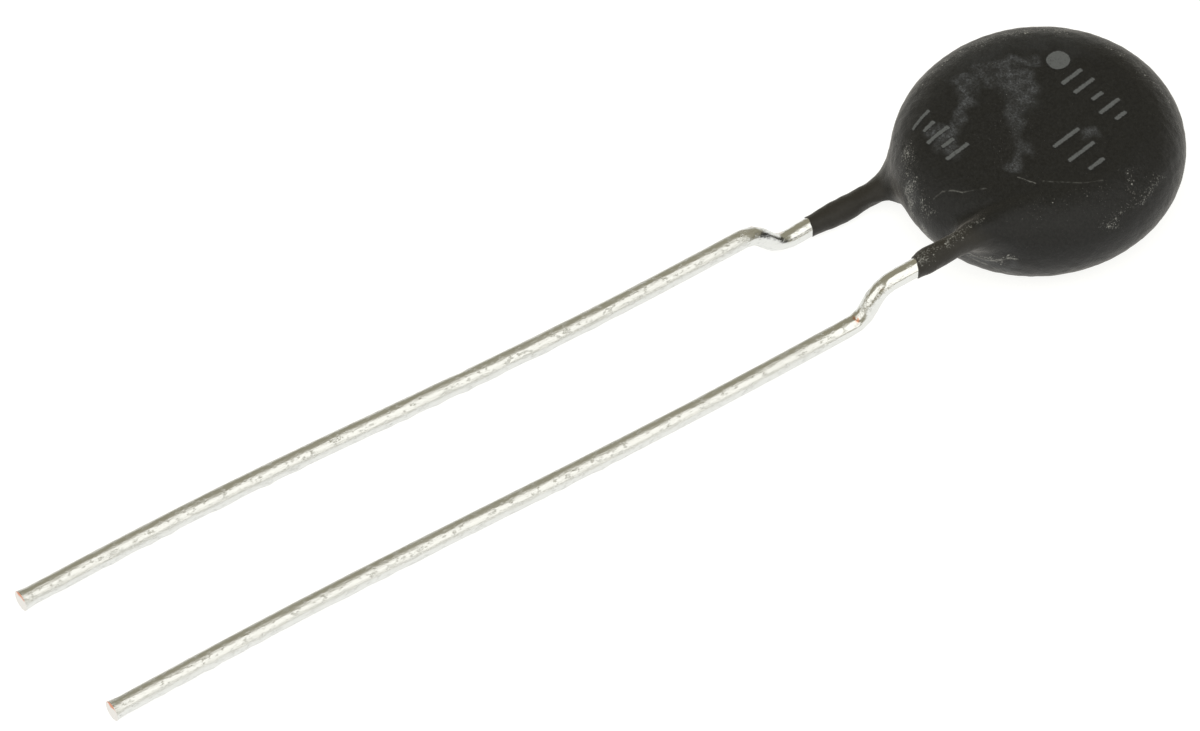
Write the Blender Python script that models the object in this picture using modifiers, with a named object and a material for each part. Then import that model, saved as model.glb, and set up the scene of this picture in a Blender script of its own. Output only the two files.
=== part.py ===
"""Coated disc thermistor with two kinked radial leads, lying as it comes to rest.

The part is laid out in its own frame first: the disc's centre at the origin, the disc
flat in XY, the front face towards +Z and the leads running towards -Y. One empty then
lays the whole part on the floor, with the origin at the bottom centre of its box.
"""

import math
from dataclasses import dataclass

import bmesh
import bpy
import numpy as np
from mathutils import Matrix, Vector

MM = 0.001

# Ceramic disc and the silver layer fired onto each of its faces
CERAMIC_DIAMETER = 13.0 * MM
CERAMIC_THICKNESS = 2.5 * MM
CERAMIC_CHAMFER = 0.25 * MM
ELECTRODE_MARGIN = 0.3 * MM
ELECTRODE_THICKNESS = 0.04 * MM

# Clearance between pieces that touch on the real part
FIT = 0.02 * MM

# Solder mound that holds each lead on its electrode
SOLDER_FILM = 0.05 * MM
SOLDER_HEIGHT = 0.85 * MM
SOLDER_WIDTH = 2.3 * MM
SOLDER_LENGTH = 4.4 * MM
SOLDER_PAST_END = 0.5 * MM
SOLDER_CAP_ANGLE = math.radians(35.0)

# Tinned copper leads
WIRE_DIAMETER = 1.0 * MM
KINK_RADIUS = 0.85 * MM
TIP_FLARE = 1.05
TIP_NECK = 0.97
TIP_LENGTH = 0.5 * MM

# Dipped coating: its wall round the disc and over the wires, and its sleeves on the leads
COAT_AT_RIM = 1.0 * MM
COAT_OVER_WIRE = 0.1 * MM
SLEEVE_AT_BODY = 0.13 * MM
SLEEVE_AT_END = 0.07 * MM

# Width over which the surface tension of the wet coating rounded its inner corners
MENISCUS = 1.7 * MM
MENISCUS_ON_FLAT = 0.02

# Spare length by which the sleeves' form and the bores run past the cut at their end
OVERRUN = 1.5 * MM
TRIM_SIZE = 4.0 * MM

# Fineness of the surfaces
DISC_SEGMENTS = 72
MOUND_SEGMENTS = 32
MOUND_RINGS = 24
WIRE_BEVEL_RESOLUTION = 4
KINK_STEPS = 5
STRAIGHT_STEPS = 14
CELLS_ACROSS = 42
SETTLING_ROUNDS = 12
SLOPE_STEP = 0.01 * MM
LEAST_SLOPE = 0.5
FLATNESS = math.radians(0.5)
SMOOTH_UNDER = math.radians(35.0)
WELD = 1e-7
LEAST_HULL_FACE = 0.001 * MM * MM


@dataclass
class Lead:
    """One lead: where its wire runs in the part's own frame.

    side is +1 on the front face and -1 on the back face. The x values are the wire's
    offsets from the disc's centre line. Its lengths run away from the disc: from the
    centre to the wire's inner end, from the rim to the sleeve's end, from there to the
    kink, along the kink, and from the rim to the tip.
    """

    name: str
    side: int
    inner_offset: float
    inner_x: float
    sleeve_length: float
    sleeve_x: float
    kink_gap: float
    kink_run: float
    kink_x: float
    length: float
    tip_x: float
    sway: float


FRONT = Lead(
    name="front",
    side=1,
    inner_offset=0.8 * MM,
    inner_x=3.95 * MM,
    sleeve_length=2.65 * MM,
    sleeve_x=4.36 * MM,
    kink_gap=2.15 * MM,
    kink_run=1.2 * MM,
    kink_x=4.42 * MM,
    length=50.8 * MM,
    tip_x=4.98 * MM,
    sway=0.15 * MM,
)
BACK = Lead(
    name="back",
    side=-1,
    inner_offset=0.8 * MM,
    inner_x=-4.1 * MM,
    sleeve_length=4.2 * MM,
    sleeve_x=-3.6 * MM,
    kink_gap=1.9 * MM,
    kink_run=1.5 * MM,
    kink_x=-3.45 * MM,
    length=51.0 * MM,
    tip_x=-3.6 * MM,
    sway=0.22 * MM,
)
LEADS = (FRONT, BACK)

# Levels above the disc's middle plane, each resting on the one before
ELECTRODE_LEVEL = CERAMIC_THICKNESS / 2 + FIT
SOLDER_LEVEL = ELECTRODE_LEVEL + ELECTRODE_THICKNESS + FIT
WIRE_RADIUS = WIRE_DIAMETER / 2
WIRE_LEVEL = SOLDER_LEVEL + SOLDER_FILM + FIT + WIRE_RADIUS

# Coated body: a flat disc whose rim is one full round
BODY_RADIUS = CERAMIC_DIAMETER / 2 + COAT_AT_RIM
BODY_EDGE = WIRE_LEVEL + WIRE_RADIUS + COAT_OVER_WIRE
FLAT_RADIUS = BODY_RADIUS - BODY_EDGE

# Colour, roughness, metallic value and density in kg per cubic metre
FINISHES = {
    "coating": ((0.022, 0.022, 0.020), 0.62, 0.0, 1800.0),
    "ceramic": ((0.045, 0.042, 0.040), 0.75, 0.0, 5000.0),
    "silver": ((0.75, 0.74, 0.71), 0.45, 1.0, 8500.0),
    "solder": ((0.60, 0.61, 0.62), 0.35, 1.0, 7400.0),
    "tinned_copper": ((0.72, 0.71, 0.67), 0.25, 1.0, 8900.0),
}


def clear_scene():
    for obj in list(bpy.data.objects):
        bpy.data.objects.remove(obj, do_unlink=True)


def new_collection(name):
    collection = bpy.data.collections.new(name)
    bpy.context.scene.collection.children.link(collection)
    return collection


def make_material(name):
    colour, roughness, metallic, _ = FINISHES[name]
    material = bpy.data.materials.new(name)
    material.use_nodes = True
    shader = material.node_tree.nodes["Principled BSDF"]
    shader.inputs["Base Color"].default_value = (*colour, 1.0)
    shader.inputs["Roughness"].default_value = roughness
    shader.inputs["Metallic"].default_value = metallic
    material.diffuse_color = (*colour, 1.0)
    return material


def add_object(name, data, collection, finish=None):
    """Link a mesh or curve as an object, with the named finish if it is a piece."""
    obj = bpy.data.objects.new(name, data)
    collection.objects.link(obj)
    if finish:
        data.materials.append(bpy.data.materials.get(finish) or make_material(finish))
        obj["density"] = FINISHES[finish][3]
    else:
        obj.hide_render = True
        obj.display_type = "WIRE"
    return obj


def turned(name, profile, collection, finish=None):
    """Disc turned about Z from (radius, height) points that run down its outer side."""
    mesh = bpy.data.meshes.new(name)
    edges = [(i, i + 1) for i in range(len(profile) - 1)]
    mesh.from_pydata([(r, 0.0, z) for r, z in profile], edges, [])
    obj = add_object(name, mesh, collection, finish)
    screw = obj.modifiers.new("turn", "SCREW")
    screw.steps = DISC_SEGMENTS
    screw.render_steps = DISC_SEGMENTS
    screw.use_merge_vertices = True
    screw.merge_threshold = WELD
    screw.use_smooth_shade = False
    return obj


def wire(name, points, radius, collection, finish=None, swell=None):
    """Round wire through the points, with an optional radius factor at each of them."""
    curve = bpy.data.curves.new(name, "CURVE")
    curve.dimensions = "3D"
    curve.bevel_depth = radius
    curve.bevel_resolution = WIRE_BEVEL_RESOLUTION
    curve.use_fill_caps = True
    spline = curve.splines.new("POLY")
    spline.points.add(len(points) - 1)
    for i, point in enumerate(points):
        spline.points[i].co = (*point, 1.0)
        spline.points[i].radius = swell[i] if swell else 1.0
    return add_object(name, curve, collection, finish)


def evaluated_mesh(obj):
    """The object's mesh with its modifiers applied and its seams welded."""
    bpy.context.view_layer.update()
    graph = bpy.context.evaluated_depsgraph_get()
    mesh = bpy.data.meshes.new_from_object(obj.evaluated_get(graph))
    bm = bmesh.new()
    bm.from_mesh(mesh)
    bmesh.ops.remove_doubles(bm, verts=bm.verts, dist=WELD)
    bmesh.ops.recalc_face_normals(bm, faces=bm.faces)
    bm.to_mesh(mesh)
    bm.free()
    return mesh


def as_cutter(obj, collection):
    """Replace a curve by the mesh of it, which a Boolean can use."""
    name, mesh, matrix = obj.name, evaluated_mesh(obj), obj.matrix_world.copy()
    bpy.data.objects.remove(obj)
    cutter = add_object(name, mesh, collection)
    cutter.matrix_world = matrix
    return cutter


def boolean(obj, other, operation="DIFFERENCE"):
    modifier = obj.modifiers.new(f"{operation.lower()} {other.name}", "BOOLEAN")
    modifier.operation = operation
    modifier.object = other
    modifier.solver = "EXACT"


def shade_round(mesh):
    mesh.shade_smooth()
    mesh.set_sharp_from_angle(angle=SMOOTH_UNDER)


def rounded_corner(before, corner, after, radius):
    """Arc points that replace a path's corner with the given bend radius."""
    into = (corner - before).normalized()
    out = (after - corner).normalized()
    turn = into.angle(out)
    setback = radius * math.tan(turn / 2)
    start = corner - into * setback
    inward = (out - into * out.dot(into)).normalized()
    centre = start + inward * radius
    angles = [turn * i / KINK_STEPS for i in range(KINK_STEPS + 1)]
    return [
        centre + (into * math.sin(a) - inward * math.cos(a)) * radius for a in angles
    ]


def lead_axis(lead):
    """Start and end of the straight run that is soldered and coated."""
    level = lead.side * WIRE_LEVEL
    inner = Vector((lead.inner_x, -lead.inner_offset, level))
    sleeve_end = Vector((lead.sleeve_x, -BODY_RADIUS - lead.sleeve_length, level))
    return inner, sleeve_end


def lead_path(lead):
    """Points of the whole wire: soldered run, kink to the middle plane, swaying run."""
    inner, sleeve_end = lead_axis(lead)
    kink_y = sleeve_end.y - lead.kink_gap
    high = Vector((lead.kink_x, kink_y, sleeve_end.z))
    low = Vector((lead.kink_x, kink_y - lead.kink_run, 0.0))
    run = low.y + BODY_RADIUS + lead.length
    straight = []
    for i in range(1, STRAIGHT_STEPS + 1):
        share = i / STRAIGHT_STEPS
        x = lead.kink_x + (lead.tip_x - lead.kink_x) * share
        x += lead.sway * math.sin(2 * math.pi * share)
        straight.append(Vector((x, low.y - run * share, 0.0)))
    path = [inner, sleeve_end]
    path += rounded_corner(sleeve_end, high, low, KINK_RADIUS)
    path += rounded_corner(high, low, straight[0], KINK_RADIUS)
    return path + straight


def tipped(path):
    """Path with points for the cut tip, and the radius factor at every point."""
    along = (path[-1] - path[-2]).normalized()
    tip = [path[-1] - along * TIP_LENGTH * share for share in (1.0, 0.6, 0.2)]
    points = path[:-1] + tip + [path[-1]]
    factors = [1.0] * (len(path) - 1) + [1.0, TIP_NECK, TIP_FLARE, TIP_FLARE]
    return points, factors


def stack_profile(grow):
    """Outline of the ceramic disc and its electrodes, grown by a clearance."""
    radius = CERAMIC_DIAMETER / 2 + grow
    face = CERAMIC_THICKNESS / 2 + grow
    silver_radius = CERAMIC_DIAMETER / 2 - ELECTRODE_MARGIN + grow
    silver_face = ELECTRODE_LEVEL + ELECTRODE_THICKNESS + grow
    upper = [
        (0.0, silver_face),
        (silver_radius, silver_face),
        (silver_radius, face),
        (radius - CERAMIC_CHAMFER, face),
        (radius, face - CERAMIC_CHAMFER),
    ]
    return upper + [(r, -z) for r, z in reversed(upper)]


def add_ceramic(collection):
    radius = CERAMIC_DIAMETER / 2
    face = CERAMIC_THICKNESS / 2
    upper = [(0.0, face), (radius - CERAMIC_CHAMFER, face), (radius, face - CERAMIC_CHAMFER)]
    profile = upper + [(r, -z) for r, z in reversed(upper)]
    return turned("ceramic_disc", profile, collection, "ceramic")


def add_electrode(lead, collection):
    """Silver layer on the face that this lead is soldered to."""
    radius = CERAMIC_DIAMETER / 2 - ELECTRODE_MARGIN
    levels = (ELECTRODE_LEVEL, ELECTRODE_LEVEL + ELECTRODE_THICKNESS)
    low, high = sorted(lead.side * level for level in levels)
    profile = [(0.0, high), (radius, high), (radius, low), (0.0, low)]
    return turned(f"{lead.name}_electrode", profile, collection, "silver")


def mound(name, lead, grow, collection, finish=None):
    """Cap of solder over the inner end of a lead, grown by a clearance."""
    bm = bmesh.new()
    bmesh.ops.create_uvsphere(
        bm, u_segments=MOUND_SEGMENTS, v_segments=MOUND_RINGS, radius=1.0
    )
    reach = math.cos(SOLDER_CAP_ANGLE)
    rise = 1.0 - math.sin(SOLDER_CAP_ANGLE)
    size = Vector((
        (SOLDER_WIDTH / 2 + grow) / reach,
        (SOLDER_LENGTH / 2 + grow) / reach,
        (SOLDER_HEIGHT + grow) / rise,
    ))
    bmesh.ops.translate(bm, vec=Vector((0.0, 0.0, rise - 1.0)), verts=bm.verts)
    bmesh.ops.scale(bm, vec=size, verts=bm.verts)
    cut = bmesh.ops.bisect_plane(
        bm,
        geom=bm.verts[:] + bm.edges[:] + bm.faces[:],
        dist=0.0,
        plane_co=(0.0, 0.0, -grow),
        plane_no=(0.0, 0.0, -1.0),
        clear_outer=True,
    )
    rim = [item for item in cut["geom_cut"] if isinstance(item, bmesh.types.BMEdge)]
    bmesh.ops.contextual_create(bm, geom=rim)
    inner, sleeve_end = lead_axis(lead)
    along = (sleeve_end - inner).normalized()
    middle = inner + along * (SOLDER_LENGTH / 2 - SOLDER_PAST_END)
    turn = Matrix.Rotation(math.atan2(along.x, -along.y), 4, "Z")
    if lead.side < 0:
        turn = turn @ Matrix.Rotation(math.pi, 4, "Y")
    place = Matrix.Translation((middle.x, middle.y, lead.side * SOLDER_LEVEL))
    bmesh.ops.transform(bm, matrix=place @ turn, verts=bm.verts)
    bmesh.ops.recalc_face_normals(bm, faces=bm.faces)
    mesh = bpy.data.meshes.new(name)
    bm.to_mesh(mesh)
    bm.free()
    return add_object(name, mesh, collection, finish)


def lead_bore(lead, collection):
    """Room for the wire inside the solder and the coating, open at the sleeve's end."""
    inner, sleeve_end = lead_axis(lead)
    along = (sleeve_end - inner).normalized()
    points = [inner - along * FIT, sleeve_end + along * 2 * OVERRUN]
    bore = wire(f"{lead.name}_bore", points, WIRE_RADIUS + FIT, collection)
    return as_cutter(bore, collection)


def add_solder(lead, bore, collection):
    solder = mound(f"{lead.name}_solder", lead, 0.0, collection, "solder")
    boolean(solder, bore)
    return solder


def add_lead(lead, collection):
    points, factors = tipped(lead_path(lead))
    return wire(f"{lead.name}_lead", points, WIRE_RADIUS, collection, "tinned_copper", factors)


def body_distance(points):
    """Distance of each point outside the plain disc with its fully round rim."""
    out = np.hypot(points[:, 0], points[:, 1]) - FLAT_RADIUS
    return np.hypot(np.maximum(out, 0.0), points[:, 2]) - BODY_EDGE


def sleeve_distance(points, lead):
    """Distance outside the sleeve round one lead, which thins towards its end."""
    inner, sleeve_end = (np.array(p) for p in lead_axis(lead))
    axis = sleeve_end - inner
    share = (points - inner) @ axis / (axis @ axis)
    nearest = inner + np.clip(share, 0.0, None)[:, None] * axis
    wall = SLEEVE_AT_BODY + (SLEEVE_AT_END - SLEEVE_AT_BODY) * np.clip(share, 0.0, 1.0)
    return np.linalg.norm(points - nearest, axis=1) - WIRE_RADIUS - wall


def dipped_distance(points):
    """Distance outside the dipped surface: body and sleeves, drawn together by the meniscus.

    The meniscus is full at the rim and fades to nearly nothing on the flat of the faces.
    """
    reach = (np.hypot(points[:, 0], points[:, 1]) - FLAT_RADIUS) / BODY_EDGE
    draw = MENISCUS * np.clip(reach, MENISCUS_ON_FLAT, 1.0)
    result = body_distance(points)
    for lead in LEADS:
        sleeve = sleeve_distance(points, lead)
        near = np.clip(1.0 - np.abs(result - sleeve) / draw, 0.0, None)
        result = np.minimum(result, sleeve) - near**2 * draw / 4
    return result


def settle_onto_dip(mesh):
    """Move every vertex along the distance's slope until it lies on the dipped surface."""
    points = np.empty(len(mesh.vertices) * 3)
    mesh.vertices.foreach_get("co", points)
    points = points.reshape(-1, 3)
    for _ in range(SETTLING_ROUNDS):
        slope = np.empty_like(points)
        for axis in range(3):
            shift = np.zeros(3)
            shift[axis] = SLOPE_STEP
            ahead = dipped_distance(points + shift)
            slope[:, axis] = (ahead - dipped_distance(points - shift)) / (2 * SLOPE_STEP)
        length = np.maximum((slope**2).sum(axis=1), LEAST_SLOPE**2)
        points -= (dipped_distance(points) / length)[:, None] * slope
    mesh.vertices.foreach_set("co", points.ravel())
    mesh.update()


def dissolve_flats(mesh):
    bm = bmesh.new()
    bm.from_mesh(mesh)
    bmesh.ops.dissolve_limit(bm, angle_limit=FLATNESS, verts=bm.verts, edges=bm.edges)
    bm.to_mesh(mesh)
    bm.free()


def sleeve_trim(lead, collection):
    """Cuts the sleeve square at its end, past which the wire is bare."""
    _, sleeve_end = lead_axis(lead)
    bm = bmesh.new()
    bmesh.ops.create_cube(bm, size=TRIM_SIZE)
    bmesh.ops.translate(
        bm, vec=sleeve_end - Vector((0.0, TRIM_SIZE / 2, 0.0)), verts=bm.verts
    )
    mesh = bpy.data.meshes.new(f"{lead.name}_trim")
    bm.to_mesh(mesh)
    bm.free()
    return add_object(f"{lead.name}_trim", mesh, collection)


def add_coating(bores, collection, cutters):
    """Dipped coating: one skin over the stack and along both leads, hollow for them."""
    steps = range(DISC_SEGMENTS // 4 + 1)
    angles = [math.pi * i / steps[-1] for i in steps]
    profile = [(0.0, BODY_EDGE)]
    profile += [
        (FLAT_RADIUS + BODY_EDGE * math.sin(a), BODY_EDGE * math.cos(a)) for a in angles
    ]
    profile += [(0.0, -BODY_EDGE)]
    form = turned("coating_form", profile, cutters)
    for lead in LEADS:
        inner, sleeve_end = lead_axis(lead)
        past = sleeve_end + (sleeve_end - inner).normalized() * OVERRUN
        radius = WIRE_RADIUS + SLEEVE_AT_BODY
        sleeve = wire(f"{lead.name}_sleeve", [inner, past], radius, cutters)
        boolean(form, as_cutter(sleeve, cutters), "UNION")
    remesh = form.modifiers.new("even skin", "REMESH")
    remesh.mode = "VOXEL"
    remesh.voxel_size = 2 * BODY_RADIUS / CELLS_ACROSS
    skin = evaluated_mesh(form)
    bpy.data.objects.remove(form)
    settle_onto_dip(skin)
    dissolve_flats(skin)
    coating = add_object("coating", skin, collection, "coating")
    for lead in LEADS:
        boolean(coating, sleeve_trim(lead, cutters))
    hollow = turned("hollow", stack_profile(FIT), cutters)
    for lead, bore in zip(LEADS, bores):
        boolean(hollow, mound(f"{lead.name}_solder_room", lead, FIT, cutters), "UNION")
        boolean(hollow, bore, "UNION")
    boolean(coating, hollow)
    shade_round(skin)
    return coating


def solid_points_and_moment(obj):
    """World points of a piece's solid, its mass and its mass times its centre."""
    mesh = evaluated_mesh(obj)
    mesh.calc_loop_triangles()
    points = np.array([obj.matrix_world @ v.co for v in mesh.vertices])
    corners = points[[tuple(t.vertices) for t in mesh.loop_triangles]]
    volumes = np.einsum("ij,ij->i", corners[:, 0], np.cross(corners[:, 1], corners[:, 2])) / 6
    bpy.data.meshes.remove(mesh)
    mass = volumes.sum() * obj["density"]
    moment = (volumes[:, None] * corners.sum(axis=1) / 4).sum(axis=0) * obj["density"]
    return points, mass, moment


def resting_turn(points, centre):
    """Rotation that lays the part on the hull face that its weight presses down.

    Of the faces with the centre of mass above them, it takes the one that the back of
    the part is nearest to.
    """
    bm = bmesh.new()
    for point in points:
        bm.verts.new(point)
    hull = bmesh.ops.convex_hull(bm, input=bm.verts)
    best = None
    for face in hull["geom"]:
        if not isinstance(face, bmesh.types.BMFace) or face.calc_area() < LEAST_HULL_FACE:
            continue
        normal = face.normal
        if (face.calc_center_median() - centre).dot(normal) < 0:
            normal = -normal
        foot = centre + normal * (face.calc_center_median() - centre).dot(normal)
        corners = [v.co for v in face.verts]
        sides = [
            (b - a).cross(foot - a).dot(normal)
            for a, b in zip(corners, corners[1:] + corners[:1])
        ]
        stable = min(sides) >= 0 or max(sides) <= 0
        if stable and (best is None or normal.z < best.z):
            best = normal.copy()
    bm.free()
    return best.rotation_difference(Vector((0.0, 0.0, -1.0))).to_matrix().to_4x4()


def lay_down(pieces, cutters, empty):
    """Rest the part on the floor, its box centred on the origin, its cutters with it."""
    bpy.context.view_layer.update()
    solids = [solid_points_and_moment(piece) for piece in pieces]
    points = np.concatenate([solid[0] for solid in solids])
    mass = sum(solid[1] for solid in solids)
    centre = Vector(sum(solid[2] for solid in solids) / mass)
    turn = resting_turn(points, centre)
    turned_points = points @ np.array(turn.to_3x3()).T
    low, high = turned_points.min(axis=0), turned_points.max(axis=0)
    shift = Matrix.Translation((-(low[0] + high[0]) / 2, -(low[1] + high[1]) / 2, -low[2]))
    for obj in pieces + list(cutters.objects):
        obj.parent = empty
    empty.matrix_world = shift @ turn


def main():
    clear_scene()
    parts = new_collection("disc_thermistor")
    cutters = new_collection("cutters")
    bores = [lead_bore(lead, cutters) for lead in LEADS]
    pieces = [add_coating(bores, parts, cutters), add_ceramic(parts)]
    for lead, bore in zip(LEADS, bores):
        pieces.append(add_electrode(lead, parts))
        pieces.append(add_solder(lead, bore, parts))
        pieces.append(add_lead(lead, parts))
    resting = bpy.data.objects.new("resting_pose", None)
    parts.objects.link(resting)
    lay_down(pieces, cutters, resting)


main()
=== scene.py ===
"""Looks of a dipped disc thermistor: coating, wires, marks, finishes and the studio round it."""

import logging
import math
from dataclasses import dataclass
from enum import Enum
from typing import Any, Callable

import bmesh
import bpy
import numpy as np
from bpy.types import Material, Node, NodeSocket, NodeTree, Object
from mathutils import Matrix, Vector, noise


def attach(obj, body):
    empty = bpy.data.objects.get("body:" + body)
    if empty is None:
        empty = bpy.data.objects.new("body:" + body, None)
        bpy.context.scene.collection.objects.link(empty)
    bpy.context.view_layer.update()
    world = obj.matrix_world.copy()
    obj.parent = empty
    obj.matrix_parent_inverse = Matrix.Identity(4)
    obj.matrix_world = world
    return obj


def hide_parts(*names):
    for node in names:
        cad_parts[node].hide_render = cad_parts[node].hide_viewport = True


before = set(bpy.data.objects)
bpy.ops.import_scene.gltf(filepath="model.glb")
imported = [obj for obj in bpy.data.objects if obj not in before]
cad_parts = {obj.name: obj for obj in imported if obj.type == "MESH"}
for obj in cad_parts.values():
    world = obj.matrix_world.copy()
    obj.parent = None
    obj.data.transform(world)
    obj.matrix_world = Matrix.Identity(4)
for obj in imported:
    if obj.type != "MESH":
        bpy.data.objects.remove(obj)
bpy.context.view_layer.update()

BODY = "root"
MM = 0.001
NEAR = 1e-4  # mm within which a vertex counts as lying on a plane
SMOOTH_UP_TO = math.radians(40)

log = logging.getLogger("thermistor")


# Small helpers


def linear(hex_colour: str) -> tuple[float, float, float, float]:
    """Turn an sRGB hex colour into Blender's linear colour.

    Args:
        hex_colour: six hex digits, with or without a leading hash.

    Returns:
        Linear red, green and blue, and full opacity.
    """
    digits = hex_colour.lstrip("#")
    parts = [int(digits[i:i + 2], 16) / 255 for i in (0, 2, 4)]
    tones = [p / 12.92 if p <= 0.04045 else ((p + 0.055) / 1.055) ** 2.4 for p in parts]
    return (*tones, 1.0)


def connect(tree: NodeTree, node: Node, inputs: dict[str | int, Any]) -> None:
    """Give a node its inputs, each a value or a socket to link.

    Args:
        tree: node tree of the node.
        node: the node.
        inputs: values or output sockets by input name or number.
    """
    for name, value in inputs.items():
        if isinstance(value, NodeSocket):
            tree.links.new(value, node.inputs[name])
        else:
            node.inputs[name].default_value = value


def add_node(
    tree: NodeTree,
    kind: str,
    settings: dict[str, Any] | None = None,
    inputs: dict[str | int, Any] | None = None,
    output: str | int = 0,
) -> NodeSocket:
    """Add a shader node with its settings and links.

    Args:
        tree: node tree that gets the node.
        kind: type of the node, without its ShaderNode prefix.
        settings: properties of the node itself.
        inputs: values or output sockets by input name or number.
        output: name or number of the output that is wanted.

    Returns:
        That output of the new node.
    """
    node = tree.nodes.new(f"ShaderNode{kind}")
    for name, value in (settings or {}).items():
        setattr(node, name, value)
    connect(tree, node, inputs or {})
    return node.outputs[output]


def deselect() -> None:
    """Leave object mode's selection empty."""
    bpy.ops.object.select_all(action="DESELECT")


def activate(obj: Object) -> None:
    """Make one object the only selected and the active one.

    Args:
        obj: the object.
    """
    deselect()
    obj.select_set(True)
    bpy.context.view_layer.objects.active = obj


def new_primitive(operator: Callable[..., Any], name: str, **sizes: Any) -> Object:
    """Add a mesh primitive with nothing else selected, and name it.

    Args:
        operator: the bpy.ops.mesh operator that adds it.
        name: name of the object and of its mesh.
        **sizes: the operator's own settings.

    Returns:
        The new object, active and selected.
    """
    deselect()
    operator(**sizes)
    obj = bpy.context.object
    obj.name = obj.data.name = name
    return obj


def select_where(obj: Object, test: Callable[[Vector], bool], kind: str = "VERT") -> None:
    """In edit mode, select the vertices, edges or faces whose every corner passes a test.

    Args:
        obj: the object being edited.
        test: takes a vertex position and says whether it belongs.
        kind: VERT, EDGE or FACE.
    """
    bpy.ops.mesh.select_mode(type=kind)
    bpy.ops.mesh.select_all(action="DESELECT")
    bm = bmesh.from_edit_mesh(obj.data)
    chosen = {v for v in bm.verts if test(v.co)}
    groups = {"VERT": bm.verts, "EDGE": bm.edges, "FACE": bm.faces}
    for item in groups[kind]:
        corners = [item] if kind == "VERT" else item.verts
        if all(v in chosen for v in corners):
            item.select_set(True)
    bmesh.update_edit_mesh(obj.data)


def add_modifier(obj: Object, kind: str, **settings: Any) -> None:
    """Add a modifier with its settings and apply it at once.

    Args:
        obj: the object.
        kind: type of the modifier.
        **settings: the modifier's own settings.
    """
    modifier = obj.modifiers.new(kind.lower(), kind)
    for name, value in settings.items():
        setattr(modifier, name, value)
    activate(obj)
    bpy.ops.object.modifier_apply(modifier=modifier.name)


def mesh_points(obj: Object) -> np.ndarray:
    """Positions of the object's vertices, one row each.

    Args:
        obj: the object.

    Returns:
        An array of three columns.
    """
    points = np.empty(len(obj.data.vertices) * 3)
    obj.data.vertices.foreach_get("co", points)
    return points.reshape(-1, 3)


def set_mesh_points(obj: Object, points: np.ndarray) -> None:
    """Write the positions of the object's vertices."""
    obj.data.vertices.foreach_set("co", np.asarray(points, float).ravel())
    obj.data.update()


def mesh_normals(obj: Object) -> np.ndarray:
    """Normals of the object's vertices, one row each.

    Args:
        obj: the object.

    Returns:
        An array of three columns.
    """
    normals = np.empty(len(obj.data.vertices) * 3)
    obj.data.vertices.foreach_get("normal", normals)
    return normals.reshape(-1, 3)


def smooth(obj: Object) -> None:
    """Shade a piece smooth, with its sharp edges kept."""
    activate(obj)
    bpy.ops.object.shade_smooth_by_angle(angle=SMOOTH_UP_TO)


def give_finishes(obj: Object, *materials: Material) -> None:
    """Leave a piece with these materials only.

    Args:
        obj: the piece.
        *materials: its materials in slot order.
    """
    obj.data.materials.clear()
    for material in materials:
        obj.data.materials.append(material)


def remove(*objects: Object) -> None:
    """Delete helper objects."""
    for obj in objects:
        bpy.data.objects.remove(obj, do_unlink=True)


# The part's own frame


class Side(Enum):
    """Face of the disc that a lead leaves from."""

    FRONT = 1
    BACK = -1


@dataclass(frozen=True)
class DiscPlace:
    """Where the disc lies. Its own frame, in mm, has +Z out of the front face and leads on -Y."""

    centre: Vector
    normal: Vector

    @classmethod
    def from_node(cls, node: str) -> "DiscPlace":
        """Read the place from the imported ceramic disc.

        Args:
            node: name of a CAD node that is a body of revolution about the disc's axis.

        Returns:
            The disc's centre and the direction that its front face looks in.
        """
        points = np.unique(np.round(mesh_points(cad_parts[node]), 7), axis=0)
        centre = (points.min(axis=0) + points.max(axis=0)) / 2
        normal = Vector(np.linalg.svd(points - centre)[2][2])
        return cls(Vector(centre), normal if normal.z > 0 else -normal)

    @property
    def turn(self) -> Matrix:
        """Rotation from the part's own frame to the world."""
        return Vector((0, 0, 1)).rotation_difference(self.normal).to_matrix()

    @property
    def matrix(self) -> Matrix:
        """Takes a point in the part's own frame, in mm, to the world, in metres."""
        return Matrix.Translation(self.centre) @ self.turn.to_4x4() @ Matrix.Scale(MM, 4)

    def put(self, obj: Object) -> None:
        """Move a mesh that was modelled in mm to its place in the world.

        Args:
            obj: the mesh, which ends up with its place in its points.
        """
        activate(obj)
        obj.matrix_world = self.matrix
        bpy.ops.object.transform_apply(location=True, rotation=True, scale=True)

    def coordinates(self, tree: NodeTree) -> NodeSocket:
        """Shader coordinates in the part's own frame, in mm.

        Args:
            tree: node tree of the material.

        Returns:
            Output that every pattern of the material reads.
        """
        back = self.turn.inverted()
        return add_node(tree, "Mapping", {"vector_type": "POINT"}, {
            "Vector": add_node(tree, "TexCoord", output="Object"),
            "Location": -(back @ self.centre) / MM,
            "Rotation": back.to_euler(),
            "Scale": (1 / MM, 1 / MM, 1 / MM),
        })


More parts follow.
